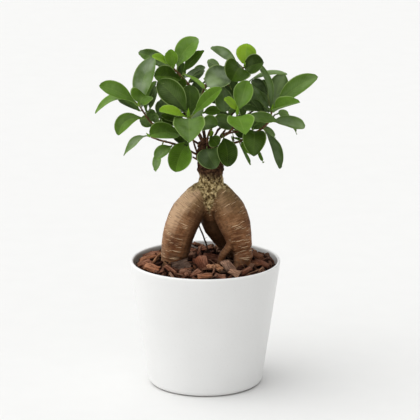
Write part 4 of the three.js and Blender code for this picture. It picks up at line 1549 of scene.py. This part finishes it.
for group_number, (shoot, looks) in enumerate(LOOKS.items()):
    heap = Heap()
    nodes = [f"leaf_{shoot}_{i + 1}" for i in range(len(looks))]
    for i, (node, look) in enumerate(zip(nodes, looks)):
        number = group_number * 20 + i
        add_leaf(heap, *grow_leaf(plan_from_node(node), look, number, **SHAPES.get(node, {})))
    placed(heap.piece(f"foliage_{shoot}", leaf_material), "leaf", *nodes)

# %% [markdown]
# Between the main leaves the photograph shows parts of others: edges, tips, dark ones behind.
# Each is listed one by one. Where the nearest wood is further off than a leaf stalk is long, a
# short twig bridges the way, because a leaf never hangs in the air.

# %% Leaves half hidden
# Each: start and tip of the blade, width, the way it faces, bow, tone and greyness.
HALF_HIDDEN = {
    "far_left_low": ((-48, 4, 242), (-60, 2, 249), 12, (0.2, -1, 0.5), (0, 0, 1), 0.5, 0.3),
    "far_left_dark": ((-41, 6, 249), (-39, 8, 267), 12, (-0.3, -1, 0.2), (0, 0, 0), 0.15, 0.3),
    "mid_left_dark": ((-31, -4, 235), (-16, -8, 227), 8, (0, -0.9, 0.6), (0, 0, 1), 0.05, 0),
    "top_left_grey": ((-30, 4, 296), (-45, 8, 302), 10, (0, -1, 0.4), (0, 0, 1), 0.4, 0.6),
    "top_left_lance": ((-19, -8, 293), (1, -18, 280), 4, (-0.4, -0.5, 0.8), (1, 0, 2), 0.75, 0.2),
    "top_left_inner": ((-20, 2, 288), (-23, 0, 278), 8, (0, -1, 0.2), (0, 0, 0), 0.1, 0.2),
    "top_mid_pale": ((14, 8, 294), (2, 10, 302), 10, (0, 0.8, -0.3), (0, 0, 1), 0.5, 0.7),
    "top_right_sliver": ((23, -4, 292), (34, -10, 287), 5, (0, -0.4, 1), (0, 0, 1), 0.7, 0.1),
    "front_right_young": ((30, -25, 262), (17, -32, 275), 9, (0.4, -0.9, 0.5), (0, 0, 2), 0.95, 0),
    "right_pale": ((52, 0, 244), (64, -2, 232), 6, (-0.4, 0.9, 0.1), (1, 0, 1), 0.6, 0.5),
    "right_behind_dark": ((35, 8, 256), (59, 8, 255), 8, (0, -0.6, 0.9), (0, 0, 2), 0.2, 0.4),
    "right_arc": ((39, 12, 282), (75, 14, 289), 8, (0, 0.5, -1), (1, 0, 6), 0.5, 0.8),
    "far_right_pale": ((66, 8, 253), (77, 12, 250), 9, (0, 0.8, -0.5), (0, 0, 2), 0.7, 0.3),
    "far_right_tip": ((69, 4, 249), (84, 2, 235), 7, (0.6, -0.3, 0.8), (2, 0, 2), 0.35, 0.4),
    "right_narrow": ((60, -3, 257), (44, -4, 280), 8.5, (0.9, -0.7, 0.2), (-1, 0, 1), 0.3, 0.5),
    "right_inner_dark": ((57, 5, 272), (42, 6, 284), 11, (0.2, -0.8, 0.6), (0, 0, 2), 0.1, 0.4),
    "centre_dark": ((30, -8, 242), (7, -14, 251), 16, (0, -0.9, 0.7), (0, 0, 2), 0.22, 0.2),
    "centre_young": ((5, -8, 235), (6, -10, 242), 4.5, (0, -1, 0.3), (0, 0, 0), 0.85, 0),
    "centre_olive": ((-2, 3, 255), (14, 2, 257), 9.5, (0.1, -0.9, 0.5), (0, 0, 1), 0.58, 0),
    "centre_right_dark": ((25, 2, 239), (36, 2, 232), 9, (0, -0.8, 0.7), (0, 0, 1), 0.08, 0),
    "centre_right_sliver": ((24, -1, 234), (34, -2, 231), 4.5, (0, -0.3, 1), (0, 0, -1), 0.75, 0.2),
    "low_right_olive": ((32, 1, 229), (42, 1, 217), 8, (0.3, -1, 0.4), (0, 0, 1), 0.6, 0),
    "right_drip": ((48, -17, 226), (53, -22, 214), 3.6, (0.2, -1, 0.3), (-1, 0, 1), 0.4, 0),
    "top_left_large": ((-29, -1, 294), (-20, -3, 277), 13, (0.2, -1, 0.3), (0, 0, 0), 0.2, 0),
    "top_left_under": ((-17, 3, 281), (-1, 0, 296), 9, (0.3, -0.8, -0.5), (0, 0, 1), 0.2, 0.8),
    "left_fill": ((-21, 4, 247), (-40, 2, 253), 9, (0, -1, 0.4), (0, 0, 1), 0.1, 0),
    "left_grey": ((-15, -2, 249), (-2, -6, 265), 13, (-0.3, -1, 0.2), (0, 0, 0), 0.35, 0.8),
    "centre_upper": ((17, 5, 263), (1, 2, 269), 8, (0, -0.9, 0.5), (0, 0, 1), 0.12, 0),
    "centre_tall": ((25, 3, 276), (26, 2, 292), 9, (0.4, -1, 0.1), (0, 0, 0), 0.15, 0.1),
    "right_fill_high": ((54, 10, 255), (43, 12, 280), 13, (0.3, -1, 0.2), (-1, 0, 0), 0.22, 0.4),
    "right_fill_mid": ((58, 9, 268), (42, 8, 281), 10, (0, -0.8, 0.6), (0, 0, 1), 0.35, 0.6),
    "right_fill_low": ((55, 7, 253), (41, 9, 265), 10, (0, -0.9, 0.5), (0, 0, 1), 0.12, 0.1),
    "right_fill_wide": ((61, 12, 256), (53, 14, 284), 11, (0.2, -1, 0.1), (0, 0, 0), 0.28, 0.3),
    "right_under": ((50, -7, 259), (34, -8, 262), 6, (0, -0.8, 0.7), (0, 0, 1), 0.1, 0.1),
    "left_dark_tall": ((-51, -2, 258), (-45, 2, 280), 8, (-0.4, -1, 0.2), (0, 0, 0), 0.2, 0.4),
    "top_left_behind": ((-21, 5, 284), (-22, 7, 303), 9, (0, -1, 0.3), (0, 0, 0), 0.22, 0.1),
    "top_left_mauve": ((-20, -1, 288), (-1, 1, 296), 7, (0, -1, 0.4), (0, 0, 1), 0.3, 1.0),
    "centre_behind": ((-7, 4, 270), (-9, 3, 285), 11, (0.2, -1, 0.3), (0, 0, 0), 0.15, 0.3),
    "right_between": ((43, -2, 240), (58, 2, 246), 7, (0, -0.8, 0.6), (0, 0, 1), 0.3, 0.1),
    "right_gap_high": ((25, 5, 268), (19, 5, 283), 7.5, (0, -1, 0.3), (0, 0, 0), 0.15, 0.2),
    "right_gap_low": ((35, 3, 250), (34, 3, 265), 7, (0, -1, 0.3), (0, 0, 0), 0.2, 0.1),
    "centre_gap_low": ((24, 5, 251), (6, 5, 256), 6, (0, -0.8, 0.6), (0, 0, 1), 0.12, 0.1),
    "left_olive": ((-42, 1, 245), (-50, 1, 255), 7, (0, -1, 0.3), (0, 0, 0), 0.5, 0.3),
    "left_dark_low": ((-27, 4, 242), (-41, 4, 250), 6.5, (0, -0.9, 0.5), (0, 0, 1), 0.06, 0.0),
}
STALK_LENGTH, SHORT_STALK = 9 * MM, 5.5 * MM
INTO_TWIG = 0.6 * MM
TWIG_RADIUS, TWIG_SIDES = 0.75 * MM, 7
TWIG_STEPS, STEM_STEPS, STEM_SIDES = 9, 22, 10
hidden_leaves, twigs = Heap(), Heap()


def add_twig(line, radii, sides, age):
    points, faces = tube(line, radii, sides)
    twigs.add(points, faces, scars=np.zeros(len(points)), age=np.full(len(points), age))


def bear(start):
    """Where a leaf's stalk starts, if that is on a twig, which is then grown towards the leaf."""
    foot = into_wood(start)
    gap = np.linalg.norm(start - foot)
    if gap < STALK_LENGTH:
        return None
    end = start + (foot - start) * (SHORT_STALK / gap)
    bend = (foot + end) / 2 + np.array([0, 0, -0.12]) * gap
    radii = np.linspace(1.2, 0.9, TWIG_STEPS) * TWIG_RADIUS
    add_twig(curve([foot, bend, end], TWIG_STEPS), radii, TWIG_SIDES, 0.4)
    return end + unit(foot - end) * INTO_TWIG


for number, (start, tip, width, face, bow, tone, grey) in enumerate(HALF_HIDDEN.values(), 300):
    start, tip, bow = [np.array(v) * MM for v in (start, tip, bow)]
    rows = plan_from_rule(start, tip, width * MM, face, bow, stalk_from=bear(start))
    add_leaf(hidden_leaves, *grow_leaf(rows, (tone, grey), number))
placed(hidden_leaves.piece("foliage_between", leaf_material), "leaf")

# %% [markdown]
# The back of the crown is not in the photograph. A real one is as leafy there, so its shoots get
# leaves by the rule that figs follow: one leaf after another up the shoot, each turned about 137
# degrees from the last. A leaf is kept only if it stays inside the crown's box, off its
# neighbours, and behind the front leaves as the camera sees them, so the outline stays true.

# %% Leaves of the back
BACK_SHOOTS = {
    "back_left": ((-8, 17, 236), (-27, 38, 262), 11),
    "back_side_left": ((-16, 20, 240), (-38, 26, 252), 9),
    "back_right": ((12, 19, 236), (34, 38, 259), 11),
    "back_side_right": ((20, 20, 240), (48, 23, 256), 9),
    "top_back": ((-2, 12, 273), (6, 34, 290), 10),
    "leader_back": ((-3, 4, 240), (-4, 2, 268), 7),
    "far_left_back": ((-30, -2, 238), (-58, -5, 260), 6),
    "far_right_back": ((32, -2, 230), (59, -6, 254), 6),
}
GOLDEN_TURN = math.radians(137.5)
CROWN_LOW = np.array([-97, -20, 226]) * MM
CROWN_HIGH = np.array([99, 68, 318]) * MM
CLEARANCE = 2.6 * MM
STALK_ROOM = 7 * MM
SEEN_AT_MOST = 0.04
TRIES = 24
BACK_TONES = [0.12, 0.22, 0.35, 0.45, 0.55]
BACK_LENGTHS, BACK_WIDTHS, BACK_FOLDS = (27 * MM, 44 * MM), (0.48, 0.62), (12, 26)
front_skin = search_tree([o for o in bpy.data.objects if o.name.startswith(("foliage_", "wood_"))])


def seen_by_camera(point):
    """True if nothing stands between the camera and a point."""
    way = Vector(point) - CAMERA_PLACE
    hit = front_skin.ray_cast(CAMERA_PLACE, way.normalized(), way.length - 0.5 * MM)
    return hit[0] is None


def fits(points, start):
    """True if a leaf's points stay in the crown, clear of other leaves and hidden in front."""
    sample = points[::SHAPED_STEPS]
    if (sample < CROWN_LOW).any() or (sample > CROWN_HIGH).any():
        return False
    away = sample[np.linalg.norm(sample - start, axis=1) > STALK_ROOM]
    others = np.array(outlines)
    gaps = np.linalg.norm(away[:, None] - others[None], axis=2)
    near_start = np.linalg.norm(others - start, axis=1) < STALK_ROOM
    if (gaps[:, ~near_start] < CLEARANCE).any():
        return False
    return sum(seen_by_camera(p) for p in away) <= SEEN_AT_MOST * len(away)


rng = random.Random(41)
back_leaves = {"left": Heap(), "right": Heap()}
count = 0
for shoot, (low, high, wanted) in BACK_SHOOTS.items():
    low, high = np.array(low) * MM, np.array(high) * MM
    axis = unit(high - low)
    side = unit(np.cross(axis, [0.1, 0.2, 1]))
    other = np.cross(axis, side)
    for i in range(wanted):
        for attempt in range(TRIES):
            share = 0.3 + 0.7 * (i + rng.uniform(-0.3, 0.3)) / wanted
            angle = i * GOLDEN_TURN + rng.uniform(-0.9, 0.9) * (1 + attempt / 6)
            out = math.cos(angle) * side + math.sin(angle) * other
            forward = 0.25 + 0.9 * share**2 + rng.uniform(-0.2, 0.3)
            way = unit(out + axis * forward + np.array([0, 0.25, 0.1]))
            shrink = (1 - 0.25 * share) * (1 - attempt / (TRIES * 2.2))
            length = rng.uniform(*BACK_LENGTHS) * shrink
            width = length * rng.uniform(*BACK_WIDTHS)
            start = into_wood(low + (high - low) * share, deep=-3.2 * MM)
            tip = start + way * length
            upward = unit(axis - way * axis.dot(way) + np.array([0, 0, 0.45]))
            bow = upward * rng.uniform(0.0, 0.06) * length
            rows = plan_from_rule(start, tip, width, upward, bow, fold=rng.uniform(*BACK_FOLDS))
            look = (rng.choice(BACK_TONES) + 0.3 * share**6, rng.uniform(0, 0.5))
            grown = grow_leaf(rows, look, 500 + count)
            if fits(grown[0], start):
                add_leaf(back_leaves["left" if start[0] < 0 else "right"], *grown)
                count += 1
                break
for half, heap in back_leaves.items():
    placed(heap.piece(f"foliage_back_{half}", leaf_material), "leaf")
print("leaves at the back:", count)

# %% [markdown]
# The remaining wood: twigs under the half-hidden leaves, the rough stub and stems that rise from
# the neck, and at each shoot's end the pointed bud that a fig always carries.

# %% Twigs and buds
# Each twig: its points from the wood outwards and its radius at both ends, in millimetres.
SMALL_STEMS = {
    "neck_left": ([(-6, -1, 214), (-9, -2, 223), (-11, -4, 233), (-12, -5, 242)], 1.0, 0.7),
    "neck_stub": ([(-6, -5, 213), (-9, -8, 215), (-11, -9, 216.5)], 1.2, 0.7),
    "upright_mid": ([(3, -1, 222), (5, -3, 232), (6, -4, 243)], 0.9, 0.6),
    "fork_right": ([(14, -6, 234), (22, -6, 238), (30, -7, 240)], 1.1, 0.7),
}
for points, first, last in SMALL_STEMS.values():
    line = curve(np.array(points) * MM, STEM_STEPS)
    radii = np.linspace(first, last, STEM_STEPS) * MM * (1 + 0.12 * rough(line, 2.5 * MM))
    sway = [rough(line + 3, 7 * MM), rough(line + 5, 7 * MM), np.zeros(len(line))]
    add_twig(line + np.stack(sway, axis=1) * 0.5 * MM, radii, STEM_SIDES, 0.85)
placed(twigs.piece("wood_twigs", twig_material), "twig_bark")

# Each bud: its foot, its tip and its radius, in millimetres.
BUDS = {
    "far_left": ((-60, -6, 264), (-61, -8, 271), 1.3),
    "front_left": ((-15, -29, 258), (-15, -32, 267), 1.5),
    "front_right": ((29, -28, 260), (29.5, -31, 269), 1.6),
    "top_left": ((-29, -3, 298), (-31, -5, 305), 1.3),
    "top_right": ((36, 1, 298), (37, 0, 305), 1.3),
    "far_right": ((61, -6, 259), (62, -7, 266), 1.4),
    "low_left": ((-50, -12, 236), (-54, -13, 240), 1.1),
    "back_left": ((-27, 38, 262), (-30, 41, 268), 1.3),
    "back_right": ((34, 38, 259), (37, 41, 265), 1.3),
    "top_back": ((6, 34, 290), (7, 38, 296), 1.3),
}
BUD_SHAPE = np.array([0.75, 1, 1.05, 1, 0.88, 0.7, 0.48, 0.26, 0.07])
BUD_PLACE, BUD_LOOK = [0.4, 0.3, 1.0], [0.75, 0.0, 0.5]
buds = Heap()
for low, high, radius in BUDS.values():
    line = np.linspace(np.array(low) * MM, np.array(high) * MM, len(BUD_SHAPE))
    points, faces = tube(line, BUD_SHAPE * radius * MM, 9)
    size = (len(points), 1)
    buds.add(points, faces, blade=np.tile(BUD_PLACE, size), look=np.tile(BUD_LOOK, size))
placed(buds.piece("shoot_buds", leaf_material), "leaf")

# %% [markdown]
# Last, every mesh that this script made is validated.

# %% Validate the meshes
for piece in bpy.data.objects:
    if piece.type == "MESH" and "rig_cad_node" not in piece:
        piece.data.validate()
